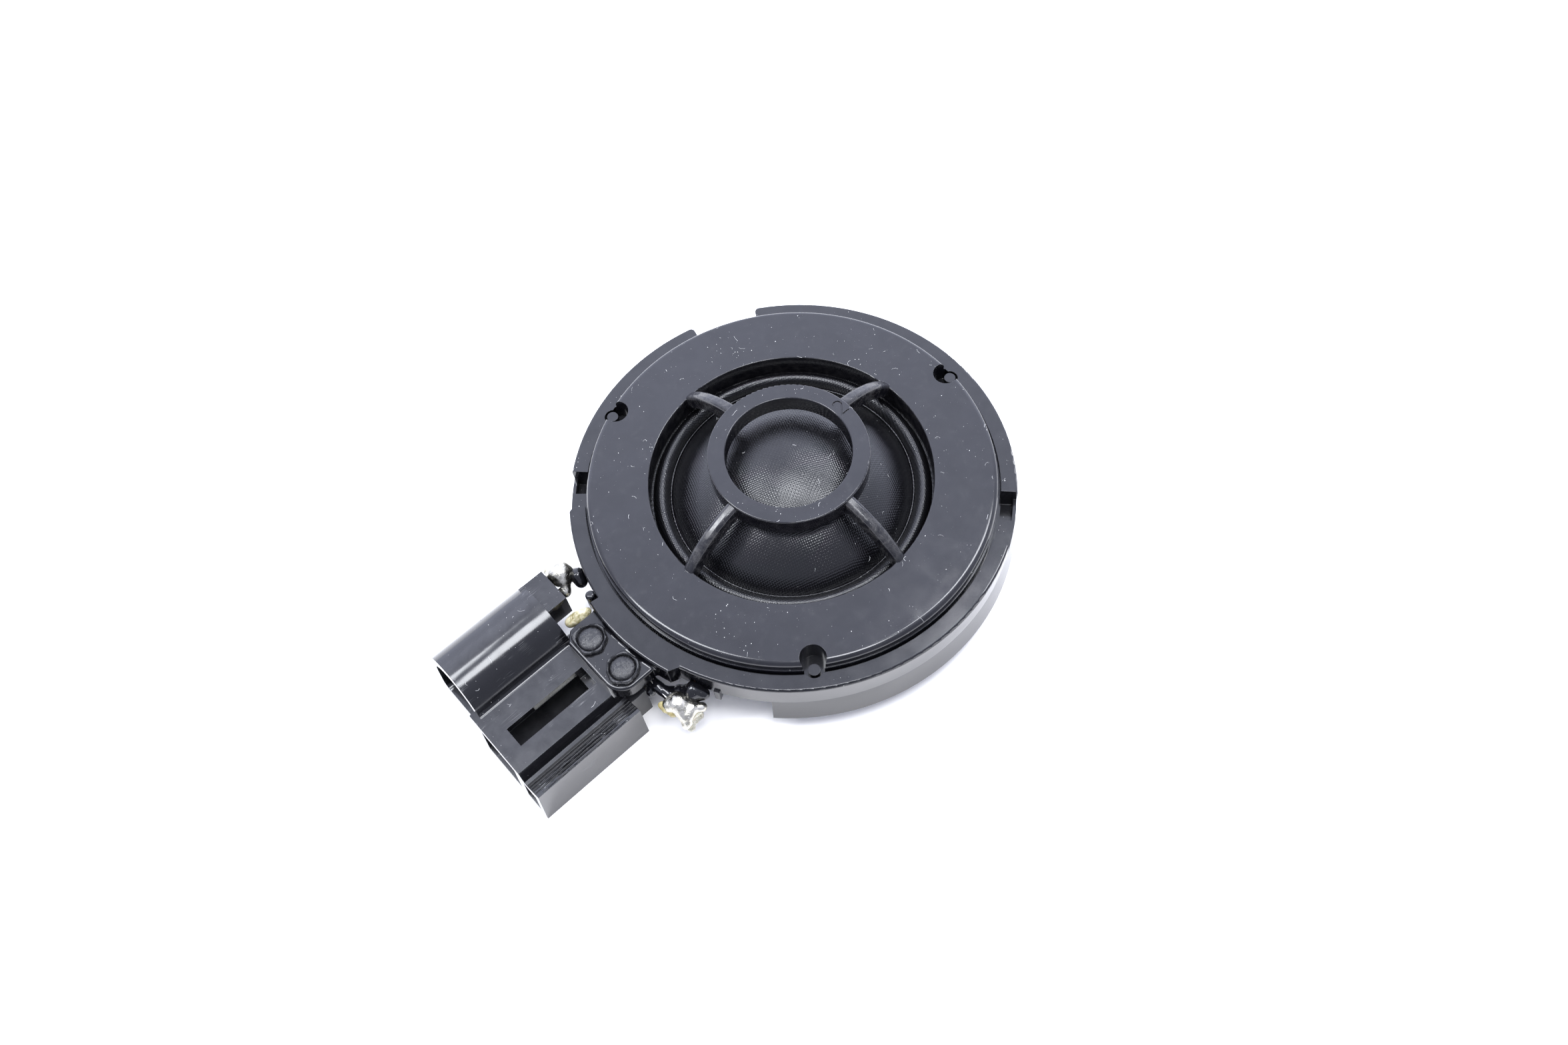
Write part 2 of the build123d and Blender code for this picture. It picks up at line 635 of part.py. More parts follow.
def right_terminal():
    """Stamped contact in the box, stepped sideways to its solder tail."""
    blade_z = (RIGHT_BLADE_Z, RIGHT_BLADE_Z + CONTACT_THICKNESS)
    blade = box((CONTACT_TIP_X, CONTACT_BEND_X[0]), RIGHT_BLADE_Y, blade_z)
    riser = box(CONTACT_BEND_X, (RIGHT_STEP_Y[0], RIGHT_BLADE_Y[1]), blade_z)
    step = box((CONTACT_BEND_X[1], RIGHT_POST_X[0]), RIGHT_STEP_Y, blade_z)
    post = box(RIGHT_POST_X, RIGHT_STEP_Y, (RIGHT_BLADE_Z, RIGHT_ARM_Z[0]))
    arm = box(RIGHT_POST_X, (RIGHT_ARM_END_Y, RIGHT_STEP_Y[1]), RIGHT_ARM_Z)
    return blade + riser + step + post + arm


# Solder and adhesive ---------------------------------------------------------


LEFT_SOLDER_AT = (-23.6, 9.2, 7.0)
LEFT_SOLDER_R = 1.35
RIGHT_SOLDER_ENDS = ((-24.1, -9.2, 5.8), (-23.7, -10.7, 5.4))
RIGHT_SOLDER_R = 1.0
SEAL_Z = 6.5
SEAL_GAP = 0.02
ADHESIVE_ENDS = ((-25.6, 4.2, 6.3), (-24.5, 4.0, 6.6))
ADHESIVE_R = 0.75


def bead(start, end, radius):
    """Round-ended bead between two points."""
    ends = Pos(*start) * Sphere(radius) + Pos(*end) * Sphere(radius)
    along = Vector(*end) - Vector(*start)
    middle = Plane(start, z_dir=along) * Pos(0, 0, along.length / 2)
    return ends + middle * Cylinder(radius, along.length)


def solder_joint(side):
    """Solder lump that joins a terminal's tail to the coil lead."""
    if side == "left":
        return Pos(*LEFT_SOLDER_AT) * Sphere(LEFT_SOLDER_R)
    return bead(*RIGHT_SOLDER_ENDS, RIGHT_SOLDER_R)


def lead_seal(side):
    """Plug of black sealant where the lead leaves the basket."""
    radius, length = SEAL_SIZES[side]
    plug = Cylinder(radius, length)
    plug = fillet(plug.edges().group_by(Axis.Z)[-1], length * 0.4)
    place = polar(RIM_OUTER_R + SEAL_GAP + length / 2, LEAD_ANGLES[side], SEAL_Z)
    return Pos(place) * Rot(0, 0, LEAD_ANGLES[side]) * Rot(0, 90, 0) * plug


def adhesive_bead():
    """Amber bead that bonds the tab's corner to the connector."""
    return bead(*ADHESIVE_ENDS, ADHESIVE_R)


# Assembly --------------------------------------------------------------------


def build():
    housing = basket()
    socket = connector_housing()
    terminals = {"left": left_terminal(), "right": right_terminal()}
    for side in ("left", "right"):
        PARTS[f"lead_seal_{side}"] = lead_seal(side)
        PARTS[f"solder_joint_{side}"] = solder_joint(side) - terminals[side]
        PARTS[f"terminal_{side}"] = terminals[side]
        PARTS[f"coil_lead_{side}"] = coil_lead(LEAD_ANGLES[side])
    PARTS["basket"] = housing
    PARTS["connector_housing"] = socket
    PARTS["front_cover"] = front_cover()
    PARTS["locating_pegs"] = Compound(children=locating_pegs())
    PARTS["diaphragm_dome"] = diaphragm_dome()
    PARTS["surround"] = surround()
    PARTS["diaphragm_ring"] = diaphragm_ring()
    PARTS["voice_coil_former"] = voice_coil_former()
    PARTS["voice_coil"] = voice_coil()
    PARTS["yoke"] = yoke()
    PARTS["magnet"] = magnet()
    PARTS["pole_plate"] = pole_plate()
    PARTS["damping_felt"] = damping_felt()
    PARTS["heat_stakes"] = Compound(children=heat_stakes())
    PARTS["adhesive_bead"] = adhesive_bead() - housing - socket


build()
os.makedirs("parts", exist_ok=True)
for name, shape in PARTS.items():
    export_step(shape, f"parts/{name}.step")
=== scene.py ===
import bmesh
import bpy
import math
import random
from mathutils import Matrix, Vector
from mathutils.bvhtree import BVHTree
from mathutils.noise import noise


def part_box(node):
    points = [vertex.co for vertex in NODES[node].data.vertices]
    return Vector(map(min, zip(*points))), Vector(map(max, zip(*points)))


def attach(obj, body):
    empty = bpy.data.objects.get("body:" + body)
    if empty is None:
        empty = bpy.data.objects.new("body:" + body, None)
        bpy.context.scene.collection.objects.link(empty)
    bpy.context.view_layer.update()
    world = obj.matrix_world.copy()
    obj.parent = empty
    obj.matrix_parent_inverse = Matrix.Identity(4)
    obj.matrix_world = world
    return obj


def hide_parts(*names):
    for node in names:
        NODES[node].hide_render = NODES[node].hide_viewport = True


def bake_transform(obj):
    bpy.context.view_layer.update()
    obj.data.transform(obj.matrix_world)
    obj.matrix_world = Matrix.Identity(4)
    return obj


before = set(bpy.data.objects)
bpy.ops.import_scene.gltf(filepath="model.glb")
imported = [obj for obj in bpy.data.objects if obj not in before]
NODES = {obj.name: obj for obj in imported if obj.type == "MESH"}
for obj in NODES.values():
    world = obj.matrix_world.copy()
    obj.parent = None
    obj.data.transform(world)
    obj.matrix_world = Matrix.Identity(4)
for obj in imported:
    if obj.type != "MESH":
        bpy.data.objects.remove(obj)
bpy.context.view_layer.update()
MM = 0.001

# Camera and photographic set -------------------------------------------------

# Angles are in degrees, the lens and sensor in millimetres, and the set's sizes in metres
CAMERA_AT = Vector((-39.81, -50.76, 116.26)) * MM
CAMERA_HEADING = -37.0
CAMERA_DOWN = 60.99
CAMERA_ROLL = -6.61
CAMERA_LENS = 27.96
SENSOR_WIDTH = 36
CLIP_NEAR, CLIP_FAR = 0.01, 20

# Level direction toward the tent's back wall, and how far the ramp leans up from it
TENT_BACK = (0.602, 0.799)
TENT_LEAN = 0.12
WALL_RADIANCE = 2.7
WALL_TINT = (0.81, 0.86, 1.06)
# Place on the way from the open front to the back wall, and share of the wall's brightness
WALL_STOPS = ((0.2, 0.3), (0.5, 0.5), (0.74, 0.76), (0.83, 1.08))
FOLD_SCALE = 2.5
FOLD_NOISE = (0.35, 0.65)
FOLD_SHADE = (0.92, 1.05)

CEILING = 0.5
PANEL_RADIANCE = 19.0
PANEL_COLOUR = (0.93, 0.955, 1.0)
# Ceiling panels: sideways and away from the camera, length and width, and turn in degrees.
# The first four are in units of the ceiling's height.
PANELS = {
    "panel_left": (-0.62, 0.05, 0.95, 0.2, 12),
    "panel_centre": (0.13, -0.14, 0.27, 0.3, 0),
    "panel_right": (0.45, 0.31, 0.6, 0.17, 4),
}
FILL_SIZE = 0.6
FILL_RADIANCE = 2.2
FILL_HEIGHT = CEILING * 1.1

FLOOR_REACH = 1.5
FLOOR_CELLS = 8
FLOOR_COLOUR = (0.95, 0.935, 0.915, 1)
FLOOR_ROUGHNESS = 0.75


def turn(degrees, axis):
    return Matrix.Rotation(math.radians(degrees), 4, axis)


def make_camera():
    data = bpy.data.cameras.new("camera")
    data.lens = CAMERA_LENS
    data.sensor_width = SENSOR_WIDTH
    data.clip_start = CLIP_NEAR
    data.clip_end = CLIP_FAR
    camera = bpy.data.objects.new("camera", data)
    heading = turn(CAMERA_HEADING, "Z")
    tilt = turn(90 - CAMERA_DOWN, "X")
    roll = turn(CAMERA_ROLL, "Z")
    camera.matrix_world = Matrix.Translation(CAMERA_AT) @ heading @ tilt @ roll
    bpy.context.scene.collection.objects.link(camera)
    bpy.context.scene.camera = camera


def make_world():
    """A white tent: bright walls beyond the object, and a dark open front on the camera's side."""
    world = bpy.data.worlds.new("tent")
    bpy.context.scene.world = world
    world.use_nodes = True
    tree = world.node_tree
    background = tree.nodes["Background"]
    direction = tree.nodes.new("ShaderNodeTexCoord").outputs["Generated"]
    toward_back = tree.nodes.new("ShaderNodeVectorMath")
    toward_back.operation = "DOT_PRODUCT"
    tree.links.new(direction, toward_back.inputs[0])
    toward_back.inputs[1].default_value = (*TENT_BACK, TENT_LEAN)
    walls = tree.nodes.new("ShaderNodeValToRGB")
    stops = walls.color_ramp.elements
    for _ in WALL_STOPS[2:]:
        stops.new(0.5)
    for stop, (position, share) in zip(stops, WALL_STOPS):
        stop.position = position
        stop.color = (*[part * share for part in WALL_TINT], 1)
    centred = tree.nodes.new("ShaderNodeMath")
    centred.operation = "MULTIPLY_ADD"
    centred.inputs[1].default_value = 0.5
    centred.inputs[2].default_value = 0.5
    tree.links.new(toward_back.outputs["Value"], centred.inputs[0])
    tree.links.new(centred.outputs[0], walls.inputs["Fac"])
    folds = tree.nodes.new("ShaderNodeTexNoise")
    folds.inputs["Scale"].default_value = FOLD_SCALE
    folds.inputs["Detail"].default_value = 0.0
    tree.links.new(direction, folds.inputs["Vector"])
    shade = tree.nodes.new("ShaderNodeMapRange")
    for socket, number in zip(list(shade.inputs)[1:5], FOLD_NOISE + FOLD_SHADE):
        socket.default_value = number
    tree.links.new(folds.outputs["Fac"], shade.inputs[0])
    folded = tree.nodes.new("ShaderNodeVectorMath")
    folded.operation = "SCALE"
    tree.links.new(walls.outputs["Color"], folded.inputs[0])
    tree.links.new(shade.outputs[0], folded.inputs["Scale"])
    tree.links.new(folded.outputs[0], background.inputs["Color"])
    background.inputs["Strength"].default_value = WALL_RADIANCE


def make_panels():
    """Soft light panels on the tent's ceiling."""
    for name, (sideways, away, length, width, twist) in PANELS.items():
        data = bpy.data.lights.new(name, "AREA")
        data.shape = "RECTANGLE"
        data.size = length * CEILING
        data.size_y = width * CEILING
        data.energy = PANEL_RADIANCE * math.pi * data.size * data.size_y
        data.color = PANEL_COLOUR
        light = bpy.data.objects.new(name, data)
        place = Matrix.Translation((sideways * CEILING, away * CEILING, CEILING))
        light.matrix_world = turn(CAMERA_HEADING, "Z") @ place @ turn(twist, "Z")
        bpy.context.scene.collection.objects.link(light)


def make_fill():
    """Wide soft fill that lifts the floor and the dust but shows in no reflection."""
    data = bpy.data.lights.new("fill", "AREA")
    data.size = FILL_SIZE
    data.energy = FILL_RADIANCE * math.pi * FILL_SIZE**2
    light = bpy.data.objects.new("fill", data)
    light.location = (0, 0, FILL_HEIGHT)
    light.visible_glossy = False
    bpy.context.scene.collection.objects.link(light)


def make_floor():
    """The tent's white floor, part of the set and not of the object."""
    bm = bmesh.new()
    bmesh.ops.create_grid(bm, x_segments=FLOOR_CELLS, y_segments=FLOOR_CELLS, size=FLOOR_REACH)
    mesh = bpy.data.meshes.new("floor")
    bm.to_mesh(mesh)
    bm.free()
    floor = bpy.data.objects.new("floor", mesh)
    bpy.context.scene.collection.objects.link(floor)
    material = bpy.data.materials.new("floor")
    material.use_nodes = True
    shader = material.node_tree.nodes["Principled BSDF"]
    shader.inputs["Base Color"].default_value = FLOOR_COLOUR
    shader.inputs["Roughness"].default_value = FLOOR_ROUGHNESS
    mesh.materials.append(material)


# Node-tree helper ------------------------------------------------------------


class Graph:
    """A material's node tree, with short calls for the nodes used here."""

    def __init__(self, name):
        self.material = bpy.data.materials.new(name)
        self.material.use_nodes = True
        self.tree = self.material.node_tree
        self.shader = self.tree.nodes["Principled BSDF"]
        coordinates = self.tree.nodes.new("ShaderNodeTexCoord").outputs["Object"]
        self.mm = self.vector_math("SCALE", coordinates, scale=1 / MM)

    def plug(self, value, socket):
        """Link a socket's output, or set a constant directly."""
        if isinstance(value, bpy.types.NodeSocket):
            self.tree.links.new(value, socket)
        else:
            socket.default_value = value

    def set(self, **values):
        for name, value in values.items():
            self.plug(value, self.shader.inputs[name.replace("_", " ")])

    def math(self, operation, a, b=0.0):
        node = self.tree.nodes.new("ShaderNodeMath")
        node.operation = operation
        for value, socket in zip((a, b), node.inputs):
            self.plug(value, socket)
        return node.outputs[0]

    def vector_math(self, operation, a, b=(0, 0, 0), scale=1.0):
        node = self.tree.nodes.new("ShaderNodeVectorMath")
        node.operation = operation
        self.plug(a, node.inputs[0])
        self.plug(b, node.inputs[1])
        if operation == "SCALE":
            node.inputs["Scale"].default_value = scale
        return node.outputs[0]

    def split(self, vector):
        node = self.tree.nodes.new("ShaderNodeSeparateXYZ")
        self.plug(vector, node.inputs[0])
        return node.outputs

    def surface_normal(self):
        return self.tree.nodes.new("ShaderNodeNewGeometry").outputs["Normal"]

    def noise(self, scale, detail=2.0, roughness=0.5, distortion=0.0, vector=None):
        node = self.tree.nodes.new("ShaderNodeTexNoise")
        node.inputs["Scale"].default_value = scale
        node.inputs["Detail"].default_value = detail
        node.inputs["Roughness"].default_value = roughness
        node.inputs["Distortion"].default_value = distortion
        self.plug(vector or self.mm, node.inputs["Vector"])
        return node.outputs["Fac"]

    def voronoi(self, scale):
        node = self.tree.nodes.new("ShaderNodeTexVoronoi")
        node.inputs["Scale"].default_value = scale
        self.plug(self.mm, node.inputs["Vector"])
        return node.outputs["Distance"]

    def ramp(self, value, low, high, to_low=0.0, to_high=1.0):
        node = self.tree.nodes.new("ShaderNodeMapRange")
        node.clamp = True
        for socket, number in zip(node.inputs, (value, low, high, to_low, to_high)):
            self.plug(number, socket)
        return node.outputs[0]

    def mix(self, factor, a, b):
        node = self.tree.nodes.new("ShaderNodeMix")
        node.data_type = "RGBA"
        self.plug(factor, node.inputs["Factor"])
        self.plug(a, node.inputs[6])
        self.plug(b, node.inputs[7])
        return node.outputs[2]

    def bump(self, height, distance, normal=None):
        node = self.tree.nodes.new("ShaderNodeBump")
        node.inputs["Strength"].default_value = 1.0
        node.inputs["Distance"].default_value = distance
        self.plug(height, node.inputs["Height"])
        if normal:
            self.plug(normal, node.inputs["Normal"])
        return node.outputs[0]


# Materials -------------------------------------------------------------------


# Height of the moulding's fine grain, and of its slow waviness as a multiple of that
GRAIN_HEIGHT = 0.0006 * MM
SWELL_HEIGHT = 110.0
# Depth of a scratch, in the same multiples
SCRATCH_DEPTH = 3.0
CORNER_RADIUS = 0.07 * MM
SCRATCH_STRETCH = (0.05, 1.0, 0.3)
SCRATCH_WIDTH = 0.014
SPECK_GREY = (0.2, 0.2, 0.2, 1)
HAZE_GREY = (0.6, 0.6, 0.58, 1)
# Pale film on upward faces: partly settled dust, partly painted light that brightens the tops
TOP_DUST_AND_LIGHT_WHITE = (1.0, 1.0, 1.05, 1)
RUBBED_TONE = (0.9, 0.86, 0.8, 1)
SCRATCH_GREY = (0.7, 0.7, 0.7, 1)


def soft_edges(g, height):
    """Normal with the moulding's slightly rounded corners, and a fine relief over them."""
    bevel = g.tree.nodes.new("ShaderNodeBevel")
    bevel.samples = 4
    bevel.inputs["Radius"].default_value = CORNER_RADIUS
    return g.bump(height, GRAIN_HEIGHT, normal=bevel.outputs[0])


def scratch_lines(g, heading, scale, gate_low):
    """Sparse fine straight scratches along one heading, in degrees."""
    place = g.tree.nodes.new("ShaderNodeMapping")
    place.inputs["Rotation"].default_value = (0, 0, math.radians(heading))
    place.inputs["Scale"].default_value = SCRATCH_STRETCH
    g.plug(g.mm, place.inputs["Vector"])
    lines = g.noise(scale, 0.0, 0.4, vector=place.outputs[0])
    ridge = g.math("ABSOLUTE", g.math("SUBTRACT", lines, 0.5))
    line = g.ramp(ridge, 0.0, SCRATCH_WIDTH, 1.0, 0.0)
    gate = g.ramp(g.noise(0.35, 2, 0.5), gate_low, gate_low + 0.08)
    return g.math("MULTIPLY", line, gate)


def dusted(g, colour, dusty, top_dust_and_light):
    """A colour under pale haze, dust specks and, where it faces up, a pale film that is partly settled
    dust and partly painted light brightening the top faces.
    """
    haze = g.ramp(g.noise(0.9, 5, 0.65, 0.3), 0.55, 0.8, 0.0, 0.012 * dusty)
    hazed = g.mix(haze, colour, HAZE_GREY)
    speck = g.ramp(g.voronoi(1.15), 0.05, 0.03)
    speck_gate = g.ramp(g.noise(0.6, 2, 0.5), 0.66 - 0.1 * dusty, 0.74 - 0.1 * dusty)
    specked = g.mix(g.math("MULTIPLY", speck, speck_gate), hazed, SPECK_GREY)
    # Painted light: faces that point up are lightened, partly as settled dust and partly standing in for
    # light falling on the tops
    upward = g.ramp(g.split(g.surface_normal())[2], 0.88, 0.99)
    uneven = g.ramp(g.noise(0.5, 4, 0.6, 0.5), 0.3, 0.7, top_dust_and_light * 0.4, top_dust_and_light)
    return g.mix(g.math("MULTIPLY", upward, uneven), specked, TOP_DUST_AND_LIGHT_WHITE)


def rubbed_band(g, rise, fall):
    """Patches of wear in a band round the axis, between two pairs of radii in millimetres."""
    x, y, _ = g.split(g.mm)
    radius = g.math("SQRT", g.math("ADD", g.math("MULTIPLY", x, x), g.math("MULTIPLY", y, y)))
    band = g.math("MULTIPLY", g.ramp(radius, *rise), g.ramp(radius, *fall))
    return g.math("MULTIPLY", band, g.ramp(g.noise(1.1, 5, 0.7, 0.4), 0.42, 0.68))


def moulded_plastic(name, colour, dusty, gloss, scratches=0.0, top_dust_and_light=0.006, worn=None):
    """Black moulded plastic with flow marks, fine grain, dust and handling scratches, its top faces
    lightened by settled dust and painted light.
    """
    g = Graph(name)
    flow = g.noise(0.16, 3, 0.55, 1.2)
    fine = g.noise(9.0, 3, 0.6)
    smudge = g.ramp(g.noise(0.45, 4, 0.6, 0.4), 0.35, 0.7, gloss, gloss + 0.06)
    rough = g.math("ADD", smudge, g.math("MULTIPLY", fine, 0.03))
    flowed = g.mix(g.ramp(flow, 0.3, 0.7), (*colour, 1), (*[c * 1.5 for c in colour], 1))
    tone = dusted(g, flowed, dusty, top_dust_and_light)
    if worn:
        rubbed = rubbed_band(g, *worn)
        tone = g.mix(g.math("MULTIPLY", rubbed, 0.035), tone, RUBBED_TONE)
        rough = g.math("ADD", rough, g.math("MULTIPLY", rubbed, 0.25))
    swell = g.math("MULTIPLY", g.noise(0.13, 1, 0.4, 0.6), SWELL_HEIGHT)
    height = g.math("ADD", fine, swell)
    if scratches:
        marks = g.math("MAXIMUM", scratch_lines(g, -52, 4.0, 0.57), scratch_lines(g, 8, 3.2, 0.6))
        tone = g.mix(g.math("MULTIPLY", marks, 0.1 * scratches), tone, SCRATCH_GREY)
        height = g.math("SUBTRACT", height, g.math("MULTIPLY", marks, SCRATCH_DEPTH * scratches))
    g.set(Base_Color=tone, Roughness=rough, Normal=soft_edges(g, height))
    return g.material


WEAVE_HEADING = 20.0
SILK_GAP = (0.001, 0.001, 0.0012, 1)
SILK_THREAD = (0.0045, 0.0045, 0.0055, 1)


def woven_silk(name, pitch, relief):
    """Plain-woven black silk, doped so that its threads glint. Pitch and relief in millimetres."""
    g = Graph(name)
    turned = g.tree.nodes.new("ShaderNodeMapping")
    turned.inputs["Rotation"].default_value = (0, 0, math.radians(WEAVE_HEADING))
    turned.inputs["Scale"].default_value = (1 / pitch, 1 / pitch, 1 / pitch)
    wander = g.tree.nodes.new("ShaderNodeTexNoise")
    wander.inputs["Scale"].default_value = 0.35
    g.plug(g.mm, wander.inputs["Vector"])
    drift = g.vector_math("SCALE", wander.outputs["Color"], scale=0.5)
    g.plug(g.vector_math("ADD", g.mm, drift), turned.inputs["Vector"])
    u, v, _ = g.split(turned.outputs[0])
    over = g.math("ABSOLUTE", g.math("SINE", g.math("MULTIPLY", u, math.pi)))
    along = g.math("ABSOLUTE", g.math("SINE", g.math("MULTIPLY", v, math.pi)))
    parity = g.math("ADD", g.math("FLOOR", u), g.math("FLOOR", v))
    parity = g.math("ABSOLUTE", g.math("MODULO", parity, 2.0))
    warp = g.math("MULTIPLY", g.math("POWER", over, 0.6), g.math("POWER", along, 1.2))
    weft = g.math("MULTIPLY", g.math("POWER", over, 1.2), g.math("POWER", along, 0.6))
    other = g.math("MULTIPLY", g.math("SUBTRACT", 1.0, parity), weft)
    height = g.math("ADD", g.math("MULTIPLY", parity, warp), other)
    g.set(Base_Color=g.mix(height, SILK_GAP, SILK_THREAD))
    g.set(Roughness=g.ramp(g.noise(1.5, 2), 0.3, 0.7, 0.13, 0.22))
    g.set(Normal=g.bump(height, relief * MM))
    return g.material


def metal(name, colour, roughness):
    """Plated or bare metal with cloudy tone and fine streaks."""
    g = Graph(name)
    cloud = g.noise(1.2, 4, 0.6)
    streak = g.noise(6.0, 3, 0.7, 0.5)
    g.set(Metallic=1.0)
    g.set(Base_Color=g.mix(cloud, (*colour, 1), (*[c * 0.72 for c in colour], 1)))
    g.set(Roughness=g.ramp(streak, 0.3, 0.7, roughness, roughness + 0.1))
    g.set(Normal=g.bump(streak, 0.004 * MM))
    return g.material


def solder_metal(name):
    """Bright solder with a frosted skin, pits, and dark flux specks."""
    g = Graph(name)
    skin = g.noise(1.6, 5, 0.65, 0.6)
    pits = g.ramp(g.voronoi(4.5), 0.16, 0.05)
    dark = g.math("MULTIPLY", pits, g.ramp(g.noise(0.9, 2), 0.52, 0.64))
    tone = g.mix(g.ramp(skin, 0.35, 0.65), (0.72, 0.69, 0.6, 1), (0.36, 0.345, 0.29, 1))
    g.set(Base_Color=g.mix(dark, tone, (0.03, 0.027, 0.022, 1)))
    g.set(Metallic=1.0)
    g.set(Roughness=g.ramp(skin, 0.3, 0.7, 0.1, 0.3))
    g.set(Normal=g.bump(g.math("SUBTRACT", skin, dark), 0.07 * MM))
    return g.material


def resin(name, clear, cloudy, rough=0.18):
    """Cloudy translucent lump of flux or adhesive."""
    g = Graph(name)
    cloud = g.noise(1.3, 5, 0.65, 0.8)
    bubbles = g.ramp(g.voronoi(3.4), 0.12, 0.05)
    tone = g.mix(g.ramp(cloud, 0.35, 0.65), (*clear, 1), (*cloudy, 1))
    g.set(Base_Color=g.mix(bubbles, tone, (0.9, 0.88, 0.8, 1)))
    g.set(Subsurface_Weight=0.5, Subsurface_Radius=(0.9 * MM, 0.6 * MM, 0.3 * MM))
    g.set(Roughness=g.ramp(cloud, 0.3, 0.7, rough, rough + 0.2))
    g.set(Normal=g.bump(cloud, 0.05 * MM))
    return g.material


def wet_black(name):
    """Glossy black sealant with a soft ripple and a few pale specks."""
    g = Graph(name)
    ripple = g.noise(1.4, 3, 0.5, 0.5)
    specks = g.ramp(g.voronoi(3.0), 0.07, 0.03)
    g.set(Base_Color=g.mix(specks, (0.003, 0.003, 0.004, 1), (0.25, 0.25, 0.24, 1)))
    g.set(Roughness=g.ramp(ripple, 0.3, 0.7, 0.06, 0.14))
    g.set(Normal=g.bump(ripple, 0.03 * MM))
    return g.material


def melted_plastic(name):
    """Black plastic that was melted and pressed: glossy, mottled and finely pitted."""
    g = Graph(name)
    mottle = g.noise(3.4, 5, 0.7, 0.6)
    pits = g.ramp(g.voronoi(5.0), 0.2, 0.06)
    tone = g.mix(g.ramp(mottle, 0.4, 0.7), (0.003, 0.003, 0.004, 1), (0.02, 0.02, 0.021, 1))
    pitted = g.math("SUBTRACT", mottle, g.math("MULTIPLY", pits, 0.4))
    g.set(Base_Color=tone, Roughness=g.ramp(mottle, 0.3, 0.7, 0.16, 0.32))
    g.set(Normal=g.bump(pitted, 0.05 * MM))
    return g.material


def pale_dust(name, colour):
    """Pale mineral dust or lint, uneven in tone."""
    g = Graph(name)
    tone = g.noise(2.5, 3, 0.6)
    g.set(Base_Color=g.mix(g.ramp(tone, 0.35, 0.65), (*colour, 1), (*[c * 0.55 for c in colour], 1)))
    g.set(Roughness=0.9)
    g.set(Normal=g.bump(tone, 0.01 * MM))
    return g.material


def felt(name):
    """Grey damping felt."""
    g = Graph(name)
    fuzz = g.noise(14, 4, 0.7)
    g.set(Base_Color=g.mix(fuzz, (0.1, 0.1, 0.1, 1), (0.3, 0.3, 0.3, 1)))
    g.set(Roughness=0.95)
    g.set(Normal=g.bump(fuzz, 0.08 * MM))
    return g.material


# Radii, in millimetres, over which the cover's wear sets in and dies away
COVER_WEAR = ((8.0, 8.4), (14.8, 14.2))
LOOKS = {
    "cover": moulded_plastic(
        "cover_plastic", (0.0045, 0.0045, 0.006), 1.0, 0.09, top_dust_and_light=0.0048, worn=COVER_WEAR
    ),
    "basket": moulded_plastic("basket_plastic", (0.0022, 0.0022, 0.003), 0.5, 0.1, top_dust_and_light=0.0085),
    "socket": moulded_plastic(
        "connector_plastic", (0.0025, 0.0025, 0.0032), 0.6, 0.09, scratches=1.0, top_dust_and_light=0.022
    ),
    "ring": moulded_plastic("ring_plastic", (0.004, 0.004, 0.004), 0.2, 0.3),
    "silk": woven_silk("silk", 0.225, 0.015),
    "surround": woven_silk("surround_silk", 0.21, 0.016),
    "steel": metal("plated_steel", (0.62, 0.62, 0.6), 0.3),
    "nickel": metal("nickel", (0.66, 0.64, 0.6), 0.2),
    "copper": metal("copper", (0.72, 0.33, 0.16), 0.25),
    "tin": metal("tinned_brass", (0.75, 0.74, 0.7), 0.25),
    "foil": metal("former_foil", (0.75, 0.75, 0.75), 0.35),
    "solder": solder_metal("solder"),
    "stake": melted_plastic("stake_plastic"),
    "sealant": wet_black("sealant"),
    "adhesive": resin("adhesive", (0.17, 0.15, 0.06), (0.52, 0.48, 0.34)),
    "flux": resin("flux", (0.16, 0.13, 0.04), (0.38, 0.33, 0.17), 0.1),
    "frost": resin("frosted_flux", (0.16, 0.15, 0.11), (0.4, 0.39, 0.33), 0.16),
    "felt": felt("felt"),
    "dust": pale_dust("dust", (0.62, 0.62, 0.6)),
    "lint": pale_dust("lint", (0.7, 0.7, 0.69)),
}
# Look of each CAD node that stays in view or inside as it is
CAD_LOOKS = {
    "front_cover": "cover",
    "basket": "basket",
    "locating_pegs": "basket",
    "diaphragm_ring": "ring",
    "connector_housing": "socket",
    "yoke": "steel",
    "pole_plate": "steel",
    "magnet": "nickel",
    "damping_felt": "felt",
    "voice_coil": "copper",
    "voice_coil_former": "foil",
    "terminal_left": "tin",
    "terminal_right": "tin",
}


def dress_cad_nodes():
    for name, look in CAD_LOOKS.items():
        mesh = NODES[name].data
        mesh.materials.clear()
        mesh.materials.append(LOOKS[look])


# Mesh helpers ----------------------------------------------------------------

# Sizes of the object's pieces are in millimetres, which piece() turns into metres
CREASE = math.radians(55)
# Height above everything, from which rays go down
SKY = 30.0
# Fineness and threshold of melted lumps, and a lone ball's radius as a share of its element's
BALL_FINENESS = 0.12
BALL_THRESHOLD = 0.6
BALL_SHARE = 0.575
WRINKLE_SCALE = 1.1


def polar(radius, degrees, z):
    """Point at a radius, an angle in degrees and a height."""
    angle = math.radians(degrees)
    return Vector((radius * math.cos(angle), radius * math.sin(angle), z))


